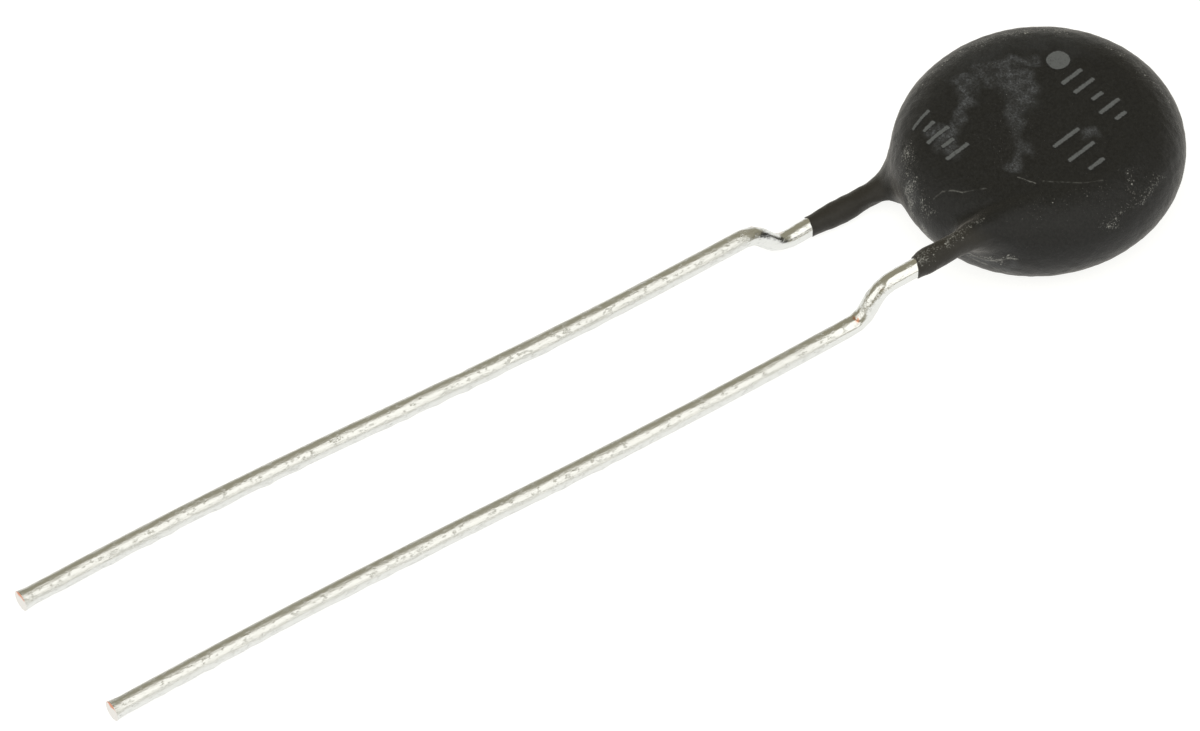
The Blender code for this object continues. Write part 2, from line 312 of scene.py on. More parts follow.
@dataclass(frozen=True)
class LeadRoute:
    """Where one wire runs in the part's own frame, in mm, and how the resin lies on it.

    The x values are offsets of the wire. Walls are given by distance from the sleeve's end, and
    so are the runs, the extra resin on its +X side, or on its -X side where it is below zero.
    """

    side: Side
    inner_offset: float
    inner_x: float
    sleeve_length: float
    sleeve_x: float
    kink_gap: float
    kink_run: float
    kink_x: float
    length: float
    tip_x: float
    sway: float
    meniscus: float
    skew: float
    slant: float
    walls: tuple[tuple[float, float], ...]
    runs: tuple[tuple[float, float], ...]
    body_radius: float = 7.5
    level: float = 1.9
    bend_radius: float = 1.25
    bend_steps: int = 12
    run_steps: int = 56

    @property
    def inner(self) -> Vector:
        """Soldered end of the wire."""
        return Vector((self.inner_x, -self.inner_offset, self.side.value * self.level))

    @property
    def sleeve_end(self) -> Vector:
        """Point where the wire leaves the coating."""
        y = -self.body_radius - self.sleeve_length
        return Vector((self.sleeve_x, y, self.side.value * self.level))

    def corner(self, before: Vector, at: Vector, after: Vector) -> list[Vector]:
        """Points of the bend that rounds a corner of the route.

        Args:
            before: point on the route before the corner.
            at: the corner.
            after: point on the route after the corner.

        Returns:
            The points of the bend.
        """
        into, out = (at - before).normalized(), (after - at).normalized()
        turn = into.angle(out)
        start = at - into * self.bend_radius * math.tan(turn / 2)
        inward = (out - into * out.dot(into)).normalized()
        centre = start + inward * self.bend_radius
        angles = [turn * i / self.bend_steps for i in range(self.bend_steps + 1)]
        return [centre + (into * math.sin(a) - inward * math.cos(a)) * self.bend_radius
                for a in angles]

    def points(self) -> list[Vector]:
        """Points of the whole wire, from its soldered end to its cut end.

        Returns:
            The two ends of the soldered run, both bends of the kink, and the long run's points.
        """
        kink_y = self.sleeve_end.y - self.kink_gap
        high = Vector((self.kink_x, kink_y, self.sleeve_end.z))
        low = Vector((self.kink_x, kink_y - self.kink_run, 0.0))
        run = low.y + self.body_radius + self.length
        straight = []
        for i in range(1, self.run_steps + 1):
            share = i / self.run_steps
            x = self.kink_x + (self.tip_x - self.kink_x) * share
            x += self.sway * math.sin(2 * math.pi * share)
            straight.append(Vector((x, low.y - run * share, 0.0)))
        path = [self.inner, self.sleeve_end]
        path += self.corner(self.sleeve_end, high, low)
        path += self.corner(high, low, straight[0])
        return path + straight


FRONT_ROUTE = LeadRoute(
    side=Side.FRONT, inner_offset=0.8, inner_x=3.95, sleeve_length=2.65, sleeve_x=4.36,
    kink_gap=2.15, kink_run=1.2, kink_x=4.42, length=50.8, tip_x=4.98, sway=0.15,
    meniscus=1.85, skew=0.0, slant=0.2,
    walls=((0.0, 0.1), (0.3, 0.12), (0.6, 0.15), (0.8, 0.165), (1.5, 0.15), (2.2, 0.11),
           (4.0, 0.13), (6.0, 0.115), (7.5, 0.09)),
    runs=((0.0, 0.0), (0.6, -0.07), (1.5, -0.06), (2.2, -0.1), (4.0, 0.0)),
)
BACK_ROUTE = LeadRoute(
    side=Side.BACK, inner_offset=0.8, inner_x=-4.1, sleeve_length=4.2, sleeve_x=-3.6,
    kink_gap=1.9, kink_run=1.5, kink_x=-3.45, length=51.0, tip_x=-3.6, sway=0.22,
    meniscus=2.15, skew=0.12, slant=0.1,
    walls=((0.0, 0.055), (0.6, 0.062), (1.0, 0.074), (1.4, 0.09), (2.0, 0.1), (2.5, 0.085),
           (3.0, 0.06), (3.6, 0.05), (4.2, 0.07), (6.0, 0.12)),
    runs=((0.0, 0.02), (0.75, 0.1), (1.1, 0.14), (1.4, 0.17), (2.3, 0.23), (2.8, 0.2),
          (3.4, 0.16), (4.2, 0.2), (5.2, 0.15), (7.0, 0.0)),
)


# Shader pieces


# Settings that several nodes share
COLOURS = {"data_type": "RGBA"}
SMOOTH = {"interpolation_type": "SMOOTHSTEP"}
ADD = {"operation": "ADD"}
MULTIPLY = {"operation": "MULTIPLY"}
MULTIPLY_ADD = {"operation": "MULTIPLY_ADD"}
LARGER = {"operation": "MAXIMUM"}


def new_material(name: str) -> tuple[Material, NodeTree, Node]:
    """Start a node material and hand back it, its tree and its shader.

    Args:
        name: name of the real material.

    Returns:
        The material, its node tree and its shader node.
    """
    material = bpy.data.materials.new(name)
    material.use_nodes = True
    tree = material.node_tree
    return material, tree, tree.nodes["Principled BSDF"]


def layered(
    tree: NodeTree, ground: str, coats: tuple[tuple[NodeSocket, str], ...]
) -> NodeSocket:
    """Lay colours over one another.

    Args:
        tree: node tree.
        ground: the lowest colour, in hex.
        coats: share and hex colour of each coat, from the lowest up.

    Returns:
        The colour that shows.
    """
    colour = linear(ground)
    for share, coat in coats:
        colour = add_node(tree, "Mix", COLOURS, {0: share, 6: colour, 7: linear(coat)}, 2)
    return colour


@dataclass(frozen=True)
class Swell:
    """Natural unevenness, as noise from 0 to 1 with finer swells on the large ones.

    It is drawn out along the leads where the scale along them is under 1.
    """

    per_mm: float
    detail: float = 5.0
    roughness: float = 0.6
    along: float = 1.0

    def height(self, tree: NodeTree, at: NodeSocket) -> NodeSocket:
        """Height of the swells at each point, from coordinates in mm.

        Args:
            tree: node tree of the material.
            at: coordinates in mm.

        Returns:
            Noise from 0 to 1.
        """
        if self.along != 1.0:
            at = add_node(tree, "VectorMath", MULTIPLY, {0: at, 1: (1.0, self.along, 1.0)})
        return add_node(tree, "TexNoise", None, {
            "Vector": at, "Scale": self.per_mm, "Detail": self.detail, "Roughness": self.roughness,
        })

    def patches(self, tree: NodeTree, at: NodeSocket, start: float, full: float) -> NodeSocket:
        """Soft-edged patches, 0 below one height of the swells and 1 above another.

        Args:
            tree: node tree of the material.
            at: coordinates in mm.
            start: height at which a patch starts.
            full: height at which it is full.

        Returns:
            Strength of the patches, from 0 to 1.
        """
        return add_node(tree, "MapRange", SMOOTH, {
            "Value": self.height(tree, at), "From Min": start, "From Max": full,
        })


def wandering(tree: NodeTree, at: NodeSocket, per_mm: float, reach: float) -> NodeSocket:
    """Coordinates that wander by up to half a reach in mm, for edges that look natural.

    Args:
        tree: node tree of the material.
        at: coordinates in mm.
        per_mm: bends of the edges per mm.
        reach: twice the furthest that they wander, in mm.

    Returns:
        The moved coordinates.
    """
    drift = add_node(tree, "TexNoise", None, {
        "Vector": at, "Scale": per_mm, "Detail": 3.0,
    }, "Color")
    centred = add_node(tree, "VectorMath", {"operation": "SUBTRACT"}, {
        0: drift, 1: (0.5, 0.5, 0.5),
    })
    return add_node(tree, "VectorMath", MULTIPLY_ADD, {
        0: centred, 1: (reach, reach, reach), 2: at,
    })


def relief(tree: NodeTree, *layers: tuple[NodeSocket, float, float]) -> NodeSocket:
    """Stack bumps on one another.

    Args:
        tree: node tree.
        *layers: height, depth in mm and strength of each, from the lowest up.

    Returns:
        The normal of the whole stack.
    """
    under: dict[str, NodeSocket] = {}
    for height, depth, strength in layers:
        under = {"Normal": add_node(tree, "Bump", None, {
            "Strength": strength, "Distance": depth * MM, "Height": height, **under,
        })}
    return under["Normal"]


@dataclass(frozen=True)
class Stroke:
    """Soft stroke on a surface, from one point to another, in the part's own frame in mm."""

    start: tuple[float, float, float]
    stop: tuple[float, float, float]
    half_width: float
    strength: float = 1.0

    def mask(self, tree: NodeTree, at: NodeSocket) -> NodeSocket:
        """Strength of the stroke: full along its middle line, 0 at its edge.

        Args:
            tree: node tree of the material.
            at: coordinates in mm.

        Returns:
            Strength at each point of the surface.
        """
        axis = Vector(self.stop) - Vector(self.start)
        offset = add_node(tree, "VectorMath", {"operation": "SUBTRACT"}, {0: at, 1: self.start})
        share = add_node(tree, "VectorMath", {"operation": "DOT_PRODUCT"}, {
            0: offset, 1: axis / axis.length_squared,
        }, "Value")
        kept = add_node(tree, "Math", {"use_clamp": True, **ADD}, {0: share, 1: 0.0})
        along = add_node(tree, "VectorMath", {"operation": "SCALE"}, {0: axis, "Scale": kept})
        gap = add_node(tree, "VectorMath", {"operation": "DISTANCE"}, {
            0: offset, 1: along,
        }, "Value")
        return add_node(tree, "MapRange", SMOOTH, {
            "Value": gap, "From Min": 0.0, "From Max": self.half_width,
            "To Min": self.strength, "To Max": 0.0,
        })

    def share(self, points: np.ndarray) -> np.ndarray:
        """Strength of the stroke at each of several points.

        Args:
            points: rows of positions in mm.

        Returns:
            One strength for each position.
        """
        start = np.array(self.start)
        axis = np.array(self.stop) - start
        along = np.clip((points - start) @ axis / (axis @ axis), 0.0, 1.0)
        gap = np.linalg.norm(points - start - along[:, None] * axis, axis=1)
        near = np.clip(1.0 - gap / self.half_width, 0.0, 1.0)
        return self.strength * near * near * (3.0 - 2.0 * near)


def strokes_mask(tree: NodeTree, at: NodeSocket, strokes: tuple[Stroke, ...]) -> NodeSocket:
    """Strongest of several strokes at each point.

    Args:
        tree: node tree of the material.
        at: coordinates in mm.
        strokes: the strokes.

    Returns:
        Strength at each point of the surface.
    """
    total = strokes[0].mask(tree, at)
    for stroke in strokes[1:]:
        total = add_node(tree, "Math", LARGER, {0: total, 1: stroke.mask(tree, at)})
    return total


def line(
    points: list[tuple[float, float, float]], half_width: float, strength: float
) -> tuple[Stroke, ...]:
    """Thin strokes that join a row of points."""
    return tuple(Stroke(a, b, half_width, strength) for a, b in zip(points, points[1:]))


def paint(obj: Object, name: str, strokes: tuple[Stroke, ...], reach: float) -> None:
    """Record the strongest of several strokes on each vertex, as an attribute.

    Args:
        obj: the piece, still in the part's own frame.
        name: name of the attribute.
        strokes: the strokes.
        reach: how far their edges wander, in mm.
    """
    points = mesh_points(obj)
    per_mm = 1.3
    # One far-off stretch of the same noise for each axis.
    shifts = [Vector(s) for s in ((0, 0, 0), (17, 5, 3), (4, 11, 23))]
    stray = [[noise.noise(Vector(p) * per_mm + shift) for shift in shifts] for p in points]
    points = points + reach * np.array(stray)
    strongest = np.max([stroke.share(points) for stroke in strokes], axis=0)
    obj.data.attributes.new(name, "FLOAT", "POINT").data.foreach_set("value", strongest)


# Finishes


@dataclass(frozen=True)
class DippedResin:
    """Black resin coating, dipped and cured: matt, near black, finely grained.

    The eye sees a flat black face with chalky rubbed marks where the part lay against others,
    hairline scratches, a rim that pales towards its outline, an olive tone on the sleeves over
    the leads, and light specks of dust that gather on the shoulders. The rim's paling is partly
    the sheen and partly a painted highlight in the pale grey of the rubbed marks, laid with a
    dust layer along the rims where they reflect the bright floor. The sleeves' lighter tone is
    partly their own cast and partly painted light for the floor and lamp that they reflect.
    The filler's grain is a few hundredths of a millimetre and the dust is finer still: both
    are drawn coarser, so that they show.
    """

    place: DiscPlace
    dark: str = "#0a0a0a"
    mottle: str = "#181817"
    # Sleeves' tone: partly their own olive cast, partly painted light for the floor and lamp they
    # reflect.
    sleeve_cast_and_light: str = "#24221e"
    # Pale grey of the rubbed marks, and of the painted highlight along the rims.
    chalk_and_rim_highlight: str = "#6d7074"
    dust: str = "#b9b9b3"
    bloom_tint: str = "#fff8ee"
    roughness: float = 0.52
    reflectance: float = 0.32
    bloom: float = 0.18
    bloom_roughness: float = 0.35
    rim_radius: float = 7.5
    rim_blend: tuple[float, float] = (-0.1, 0.9)
    # Patterns: swells per mm, then how many finer ones are added and how strong those are.
    mottles: Swell = Swell(7.0, 4.0, 0.7)
    grain: Swell = Swell(1 / 0.16, 4.0, 0.7)
    lumps: Swell = Swell(1.8, 3.0)
    crumbs: Swell = Swell(8.0, 8.0, 0.9)
    clumps: Swell = Swell(2.2, 5.0, 0.7)
    gaps: Swell = Swell(4.5)
    drifts: Swell = Swell(1.2, 3.0)
    powder: Swell = Swell(10.0, 3.0, 0.8)
    # Coarse and fine dots: cells per mm, share of cells filled, largest radius, and strength.
    dots_per_mm: tuple[float, float] = (2.4, 7.0)
    dots_crowd: tuple[tuple[float, float], ...] = ((0.03, 0.25), (0.08, 0.55))
    dots_size: tuple[float, float] = (0.17, 0.36)
    dots_strength: tuple[float, float] = (0.5, 0.4)
    rubbed: tuple[Stroke, ...] = (
        Stroke((-3.6, 0.35, 2.47), (-1.7, 0.1, 2.47), 1.25, 0.95),
        Stroke((-2.9, 0.9, 2.47), (-1.7, 0.5, 2.47), 0.8, 0.8),
        Stroke((-1.6, -0.4, 2.47), (1.1, -1.8, 2.47), 0.65, 0.75),
        Stroke((1.5, -1.9, 2.47), (2.0, -2.7, 2.47), 0.6, 1.1),
        Stroke((-4.1, -1.8, 2.47), (-3.1, -2.25, 2.47), 0.7, 0.9),
        Stroke((-3.1, -2.25, 2.47), (-1.5, -4.2, 2.47), 0.5, 1.0),
        Stroke((-4.5, -2.2, 2.47), (-4.7, -0.35, 2.47), 0.5, 0.8),
        Stroke((-4.7, -0.35, 2.47), (-3.4, 2.0, 2.47), 0.45, 0.9),
        Stroke((-4.2, -1.0, 2.47), (-3.2, 0.0, 2.47), 0.8, 0.7),
        Stroke((2.15, 1.8, 2.47), (2.35, 1.7, 2.47), 0.5, 0.8),
        Stroke((-2.3, -4.9, 2.47), (-0.6, -4.7, 2.47), 0.75, 1.0),
    )
    # Along the rims: a dust layer, and a painted highlight that stands in for the bright floor they
    # reflect.
    dust_and_rim_highlight: tuple[Stroke, ...] = (
        Stroke((-4.2, -5.2, 2.2), (-5.9, -2.0, 2.2), 2.0, 0.35),
        Stroke((-5.9, -2.0, 2.2), (-5.6, 2.0, 2.2), 2.0, 0.8),
        Stroke((-5.6, 2.0, 2.2), (-3.4, 5.2, 2.2), 2.0, 0.8),
        Stroke((-0.7, -7.4, 0.9), (1.2, -7.4, -0.6), 0.9, 1.6),
        Stroke((3.8, -6.6, -0.1), (5.6, -5.0, -0.6), 0.6, 1.8),
        Stroke((6.6, 1.7, 1.58), (6.35, 2.7, 1.54), 0.3, 1.0),
        Stroke((2.5, -6.7, -1.1), (5.8, -3.8, -1.2), 1.2, 0.8),
        Stroke((5.8, -3.8, -1.2), (7.1, 0.4, -1.2), 1.0, 0.5),
    )
    dusty: tuple[Stroke, ...] = (
        Stroke((-4.0, -6.2, 1.2), (-1.4, -7.2, 1.2), 1.3, 0.4),
        Stroke((-0.7, -7.4, 0.9), (1.2, -7.4, -0.8), 0.9, 1.4),
        Stroke((-2.46, -6.45, 1.76), (1.1, -7.36, 1.0), 0.8, 1.0),
        Stroke((5.4, 2.2, 2.35), (6.75, 1.4, 1.6), 0.8, 0.7),
        Stroke((5.9, 3.6, 1.63), (6.75, 1.4, 1.6), 0.7, 0.8),
        Stroke((6.75, 1.4, 1.6), (7.0, -0.5, 1.4), 0.6, 0.8),
        Stroke((-5.4, -4.2, 1.8), (-6.3, -1.7, 2.0), 1.2, 0.5),
        Stroke((-6.3, -1.7, 2.0), (-5.8, 2.3, 2.1), 1.0, 0.8),
        Stroke((-5.8, 2.3, 2.1), (-4.4, 4.6, 2.1), 0.9, 0.9),
        Stroke((-3.4, 5.4, 2.0), (0.5, 6.5, 2.0), 0.8, 0.5),
        Stroke((-0.5, 6.3, 2.1), (2.0, 6.5, 1.7), 1.0, 0.6),
        Stroke((4.5, -10.0, 2.5), (3.85, -6.0, 2.5), 0.6, 1.1),
        Stroke((3.8, -6.6, 0.1), (5.6, -5.0, 0.4), 0.6, 1.2),
        Stroke((4.5, -3.6, 2.45), (6.0, 0.5, 2.2), 1.8, 0.3),
        Stroke((-3.4, 0.4, 2.5), (1.2, -2.4, 2.5), 2.2, 0.25),
        Stroke((-3.6, -12.6, 0.0), (-3.4, -8.2, 0.6), 0.7, 0.35),
    )
    scratches: tuple[Stroke, ...] = (
        *line([(0.92, -6.89, 1.73), (1.04, -6.41, 2.1), (1.39, -6.02, 2.27), (1.83, -5.7, 2.34),
               (2.35, -4.64, 2.48)], 0.07, 0.32),
        *line([(2.63, -2.89, 2.48), (3.45, -2.36, 2.46)], 0.06, 0.55),
        *line([(3.56, -1.95, 2.46), (4.8, -0.32, 2.46), (5.16, 0.58, 2.45)], 0.07, 0.26),
        *line([(3.81, -6.66, 0.19), (4.56, -6.12, 0.04), (4.85, -5.88, 0.09), (5.46, -5.22, 0.52),
               (5.69, -4.95, 0.41)], 0.11, 1.0),
        *line([(3.71, -6.67, -0.14), (4.45, -6.12, -0.4), (5.29, -5.12, -1.03)], 0.13, 0.6),
    )

    def build(self) -> Material:
        """Make the material.

        Returns:
            The finished material.
        """
        material, tree, shader = new_material("dipped_black_resin")
        at = self.place.coordinates(tree)
        mottling = self.mottles.height(tree, at)
        mottled = add_node(tree, "MapRange", SMOOTH, {
            "Value": mottling, "From Min": 0.3, "From Max": 0.7,
        })
        light = self.light_share(tree, at)
        base = layered(tree, self.dark, (
            (mottled, self.mottle),
            # Sleeves: lighter tone, partly painted light.
            (self.sleeve_cast_and_light_share(tree, at), self.sleeve_cast_and_light),
            # Rubbed marks, and along the rims a dust layer with a painted highlight.
            (self.rubbed_and_rim_highlight_share(tree, at), self.chalk_and_rim_highlight),
            (light, self.dust),
        ))
        grain, lumps = self.grain.height(tree, at), self.lumps.height(tree, at)
        connect(tree, shader, {
            "Base Color": base,
            "Roughness": add_node(tree, "MapRange", None, {
                "Value": mottling, "To Min": self.roughness - 0.06, "To Max": self.roughness + 0.08,
            }),
            "Specular IOR Level": self.reflectance,
            "Sheen Weight": self.bloom,
            "Sheen Roughness": self.bloom_roughness,
            "Sheen Tint": linear(self.bloom_tint),
            "Normal": relief(tree, (grain, 0.06, 0.5), (lumps, 0.1, 0.25), (light, 0.05, 0.5)),
        })
        return material

    def mark(self, skin: Object) -> None:
        """Paint the rubbed marks, the rims' dust layer with its painted highlight, and the dust,
        before the coating is put in place.

        Args:
            skin: the coating, still in the part's own frame.
        """
        paint(skin, "rubbed", self.rubbed, 0.5)
        # Rims: dust layer and painted highlight.
        paint(skin, "dust_and_rim_highlight", self.dust_and_rim_highlight, 0.7)
        paint(skin, "dusty", self.dusty, 0.4)

    def sleeve_cast_and_light_share(self, tree: NodeTree, at: NodeSocket) -> NodeSocket:
        """Share of the sleeves' lighter tone, which comes in past the disc's rim: partly their
        own olive cast, partly painted light for the floor and lamp that they reflect.

        Args:
            tree: node tree of the material.
            at: coordinates in mm.

        Returns:
            Share from 0 on the disc to 1 on the sleeves.
        """
        flat = add_node(tree, "VectorMath", MULTIPLY, {0: at, 1: (1.0, 1.0, 0.0)})
        radius = add_node(tree, "VectorMath", {"operation": "LENGTH"}, {0: flat}, "Value")
        return add_node(tree, "MapRange", SMOOTH, {
            "Value": radius,
            "From Min": self.rim_radius + self.rim_blend[0],
            "From Max": self.rim_radius + self.rim_blend[1],
        })

    def rubbed_and_rim_highlight_share(self, tree: NodeTree, at: NodeSocket) -> NodeSocket:
        """Share of pale grey: crumbled in the rubbed marks, and fainter along the rims,
        where it is a dust layer and also a painted highlight for the floor they reflect.

        Args:
            tree: node tree of the material.
            at: coordinates in mm.

        Returns:
            Share from 0 to 1.
        """
        rubbed = add_node(tree, "Attribute", {"attribute_name": "rubbed"}, output="Fac")
        # Along the rims this is partly a painted highlight.
        dust_and_rim_highlight = add_node(tree, "Attribute", {"attribute_name": "dust_and_rim_highlight"}, output="Fac")
        crumbs = self.crumbs.patches(tree, at, 0.42, 0.62)
        clumps = add_node(tree, "MapRange", None, {
            "Value": self.clumps.patches(tree, at, 0.4, 0.62), "To Min": 0.35, "To Max": 1.0,
        })
        in_marks = add_node(tree, "MapRange", None, {
            "Value": crumbs, "To Min": 0.06, "To Max": 0.62,
        })
        in_dust_and_rim_highlight = add_node(tree, "MapRange", None, {
            "Value": crumbs, "To Min": 0.05, "To Max": 0.14,
        })
        rubbed = add_node(tree, "Math", MULTIPLY, {0: rubbed, 1: clumps})
        rubbed = add_node(tree, "Math", MULTIPLY, {0: rubbed, 1: in_marks})
        dust_and_rim_highlight = add_node(tree, "Math", MULTIPLY, {0: dust_and_rim_highlight, 1: in_dust_and_rim_highlight})
        return add_node(tree, "Math", LARGER, {0: rubbed, 1: dust_and_rim_highlight})

    def light_share(self, tree: NodeTree, at: NodeSocket) -> NodeSocket:
        """Share of the lightest tone, in dust and in broken scratches.

        Args:
            tree: node tree of the material.
            at: coordinates in mm.

        Returns:
            Share from 0 to 1.
        """
        scratches = strokes_mask(tree, wandering(tree, at, 4.0, 0.07), self.scratches)
        broken = self.gaps.patches(tree, at, 0.35, 0.6)
        scratches = add_node(tree, "Math", MULTIPLY, {0: scratches, 1: broken})
        scratches = add_node(tree, "Math", MULTIPLY, {0: scratches, 1: 0.42})
        return add_node(tree, "Math", LARGER, {0: self.specks(tree, at), 1: scratches})

    def specks(self, tree: NodeTree, at: NodeSocket) -> NodeSocket:
        """Strength of the light specks: a few anywhere, and many where dust has gathered.

        Args:
            tree: node tree of the material.
            at: coordinates in mm.

        Returns:
            Strength at each point of the surface.
        """
        zones = add_node(tree, "Math", MULTIPLY, {
            0: add_node(tree, "Attribute", {"attribute_name": "dusty"}, output="Fac"),
            1: add_node(tree, "MapRange", None, {
                "Value": self.drifts.height(tree, at), "To Min": 0.3, "To Max": 1.7,
            }),
        })
        powder = add_node(tree, "Math", MULTIPLY_ADD, {
            0: zones, 1: 0.17, 2: self.powder.height(tree, at),
        })
        powder = add_node(tree, "MapRange", SMOOTH, {
            "Value": powder, "From Min": 0.66, "From Max": 0.84,
        })
        total = add_node(tree, "Math", MULTIPLY, {0: powder, 1: 0.34})
        for per_mm, (few, many), size, strength in zip(
            self.dots_per_mm, self.dots_crowd, self.dots_size, self.dots_strength
        ):
            shown = add_node(tree, "MapRange", None, {
                "Value": zones, "To Min": few, "To Max": many,
            })
            dots = self.dots(tree, at, per_mm, shown, size)
            dots = add_node(tree, "Math", MULTIPLY, {0: dots, 1: strength})
            total = add_node(tree, "Math", LARGER, {0: dots, 1: total})
        return total

    @staticmethod
    def dots(
        tree: NodeTree, at: NodeSocket, per_mm: float, crowd: NodeSocket, size: float
    ) -> NodeSocket:
        """Scattered dots of mixed sizes and strengths.

        Args:
            tree: node tree.
            at: coordinates in mm.
            per_mm: number of cells per mm, with one dot at most in each.
            crowd: share of the cells that have a dot.
            size: radius of the largest dot, as a share of its cell.

        Returns:
            Strength of the dot at each point, 0 between the dots.
        """
        distance = add_node(tree, "TexVoronoi", None, {
            "Vector": at, "Scale": per_mm, "Randomness": 1.0,
        }, "Distance")
        chance = add_node(tree, "SeparateColor", None, {
            "Color": distance.node.outputs["Color"],
        }, "Red")
        drawn = add_node(tree, "Math", ADD, {0: chance, 1: crowd})
        grown = add_node(tree, "MapRange", SMOOTH, {
            "Value": drawn, "From Min": 1.0, "From Max": 1.35,
        })
        radius = add_node(tree, "Math", MULTIPLY, {0: grown, 1: size})
        inside = add_node(tree, "Math", {"operation": "LESS_THAN"}, {0: distance, 1: radius})
        strength = add_node(tree, "MapRange", None, {
            "Value": chance.node.outputs["Green"], "To Min": 0.15, "To Max": 1.0,
        })
        return add_node(tree, "Math", MULTIPLY, {0: inside, 1: strength})


@dataclass(frozen=True)
class TinnedWire:
    """Copper wire with a hot-dipped tin coat.

    The eye sees bright warm silver with long, low runs in the tin and small pits. Near the
    coating, where the tin was melted again, it is smoother and mirrors more sharply.
    """

    place: DiscPlace
    bright: str = "#e3e4e3"
    dull: str = "#d7d8d5"
    copper: str = "#d9a083"
    rough_run: float = 0.32
    rough_clean: float = 0.15
    clean_to: float = -13.5
    run_from: float = -17.0
    # Patterns, drawn out along the wire as the tin ran off it.
    runs: Swell = Swell(3.6, 4.0, 0.6, 0.16)
    hairs: Swell = Swell(11.0, 4.0, 0.7, 0.06)
    pits: Swell = Swell(4.5, 5.0, 0.65, 0.6)
    scuffs: Swell = Swell(4.0)
    thin_tin: tuple[Stroke, ...] = (
        Stroke((4.41, -13.79, 0.6), (4.6, -13.9, 0.5), 0.3, 1.6),
        Stroke((4.75, -12.4, 2.2), (4.8, -12.2, 2.3), 0.3, 0.5),
        Stroke((-3.8, -13.4, -1.3), (-3.9, -14.9, 0.2), 0.35, 0.9),
    )
    worked: Stroke = Stroke((-3.5, -13.2, -1.8), (-3.45, -15.4, 0.2), 1.1, 0.3)

    def build(self) -> Material:
        """Make the material.

        Returns:
            The finished material.
        """
        material, tree, shader = new_material("hot_dipped_tin")
        at = self.place.coordinates(tree)
        runs, hairs, pits = (
            swell.height(tree, at) for swell in (self.runs, self.hairs, self.pits)
        )
        pits = add_node(tree, "MapRange", SMOOTH, {
            "Value": pits, "From Min": 0.3, "From Max": 0.46, "To Min": 1.0, "To Max": 0.0,
        })
        bare = add_node(tree, "Math", MULTIPLY, {
            0: strokes_mask(tree, at, self.thin_tin), 1: self.scuffs.patches(tree, at, 0.42, 0.62),
        })
        run = add_node(tree, "MapRange", SMOOTH, {
            "Value": add_node(tree, "SeparateXYZ", None, {"Vector": at}, "Y"),
            "From Min": self.run_from, "From Max": self.clean_to, "To Min": 1.0, "To Max": 0.0,
        })
        rough, haired, flow, depth = (
            add_node(tree, "MapRange", None, {"Value": value, "To Min": low, "To Max": high})
            for value, low, high in (
                (run, self.rough_clean, self.rough_run), (hairs, 0.8, 1.2), (run, 0.5, 1.0),
                (run, -0.4, -1.0),
            )
        )
        rough = add_node(tree, "Math", MULTIPLY, {0: rough, 1: haired})
        flow = add_node(tree, "Math", MULTIPLY, {0: runs, 1: flow})
        pitted = add_node(tree, "Math", MULTIPLY, {0: pits, 1: depth})
        connect(tree, shader, {
            "Base Color": layered(tree, self.dull, ((hairs, self.bright), (bare, self.copper))),
            "Metallic": 1.0,
            "Roughness": add_node(tree, "Math", LARGER, {
                0: rough, 1: self.worked.mask(tree, at),
            }),
            "Normal": relief(tree, (flow, 0.055, 0.9), (pitted, 0.027, 0.7), (hairs, 0.006, 0.5)),
        })
        return material


@dataclass(frozen=True)
class ShearedCopper:
    """Sheared end of a tinned wire: smeared with tin, with pink bare copper at its top edge."""

    place: DiscPlace
    copper: str = "#d08a6c"
    smeared: str = "#dfdcd9"
    roughness: float = 0.4
    smears: Swell = Swell(2.5, 4.0)
    tears: Swell = Swell(6.0)

    def build(self) -> Material:
        """Make the material.

        Returns:
            The finished material.
        """
        material, tree, shader = new_material("sheared_copper")
        at = self.place.coordinates(tree)
        height = add_node(tree, "SeparateXYZ", None, {"Vector": at}, "Z")
        level = add_node(tree, "Math", MULTIPLY_ADD, {
            0: self.smears.height(tree, at), 1: 0.5, 2: height,
        })
        bare = add_node(tree, "MapRange", SMOOTH, {
            "Value": level, "From Min": 0.54, "From Max": 0.7,
        })
        connect(tree, shader, {
            "Base Color": layered(tree, self.smeared, ((bare, self.copper),)),
            "Metallic": 1.0,
            "Roughness": self.roughness,
            "Normal": relief(tree, (self.tears.height(tree, at), 0.02, 0.4)),
        })
        return material


@dataclass(frozen=True)
class MarkingInk:
    """Grey marking ink, pad printed: thin and matt, crumbling most along the edges of each mark."""

    place: DiscPlace
    ink: str = "#4e5050"
    worn: str = "#1f1f1f"
    roughness: float = 0.7
    reflectance: float = 0.3
    crumbling: Swell = Swell(9.0, 7.0, 0.75)

    def build(self) -> Material:
        """Make the material.

        Returns:
            The finished material.
        """
        material, tree, shader = new_material("grey_marking_ink")
        at = self.place.coordinates(tree)
        wear = self.crumbling.height(tree, at)
        cover = add_node(tree, "Attribute", {"attribute_name": "cover"}, output="Fac")
        left = add_node(tree, "Math", MULTIPLY_ADD, {0: cover, 1: 0.3, 2: wear})
        inked = add_node(tree, "MapRange", SMOOTH, {
            "Value": left, "From Min": 0.52, "From Max": 0.8,
        })
        connect(tree, shader, {
            "Base Color": layered(tree, self.worn, ((inked, self.ink),)),
            "Roughness": self.roughness,
            "Specular IOR Level": self.reflectance,
            "Normal": relief(tree, (wear, 0.02, 0.3)),
        })
        return material


@dataclass(frozen=True)
class InnerFinish:
    """Finish of a piece inside the coating, which only a cut-open part would show."""

    name: str
    light: str
    dark: str
    metallic: float
    roughness: float
    grain_mm: float
    place: DiscPlace

    def build(self) -> Material:
        """Make the material.

        Returns:
            The finished material.
        """
        material, tree, shader = new_material(self.name)
        grain = Swell(1 / self.grain_mm).height(tree, self.place.coordinates(tree))
        connect(tree, shader, {
            "Base Color": layered(tree, self.dark, ((grain, self.light),)),
            "Metallic": self.metallic,
            "Roughness": self.roughness,
            "Normal": relief(tree, (grain, 0.03, 0.4)),
        })
        return material


# Sub-assemblies


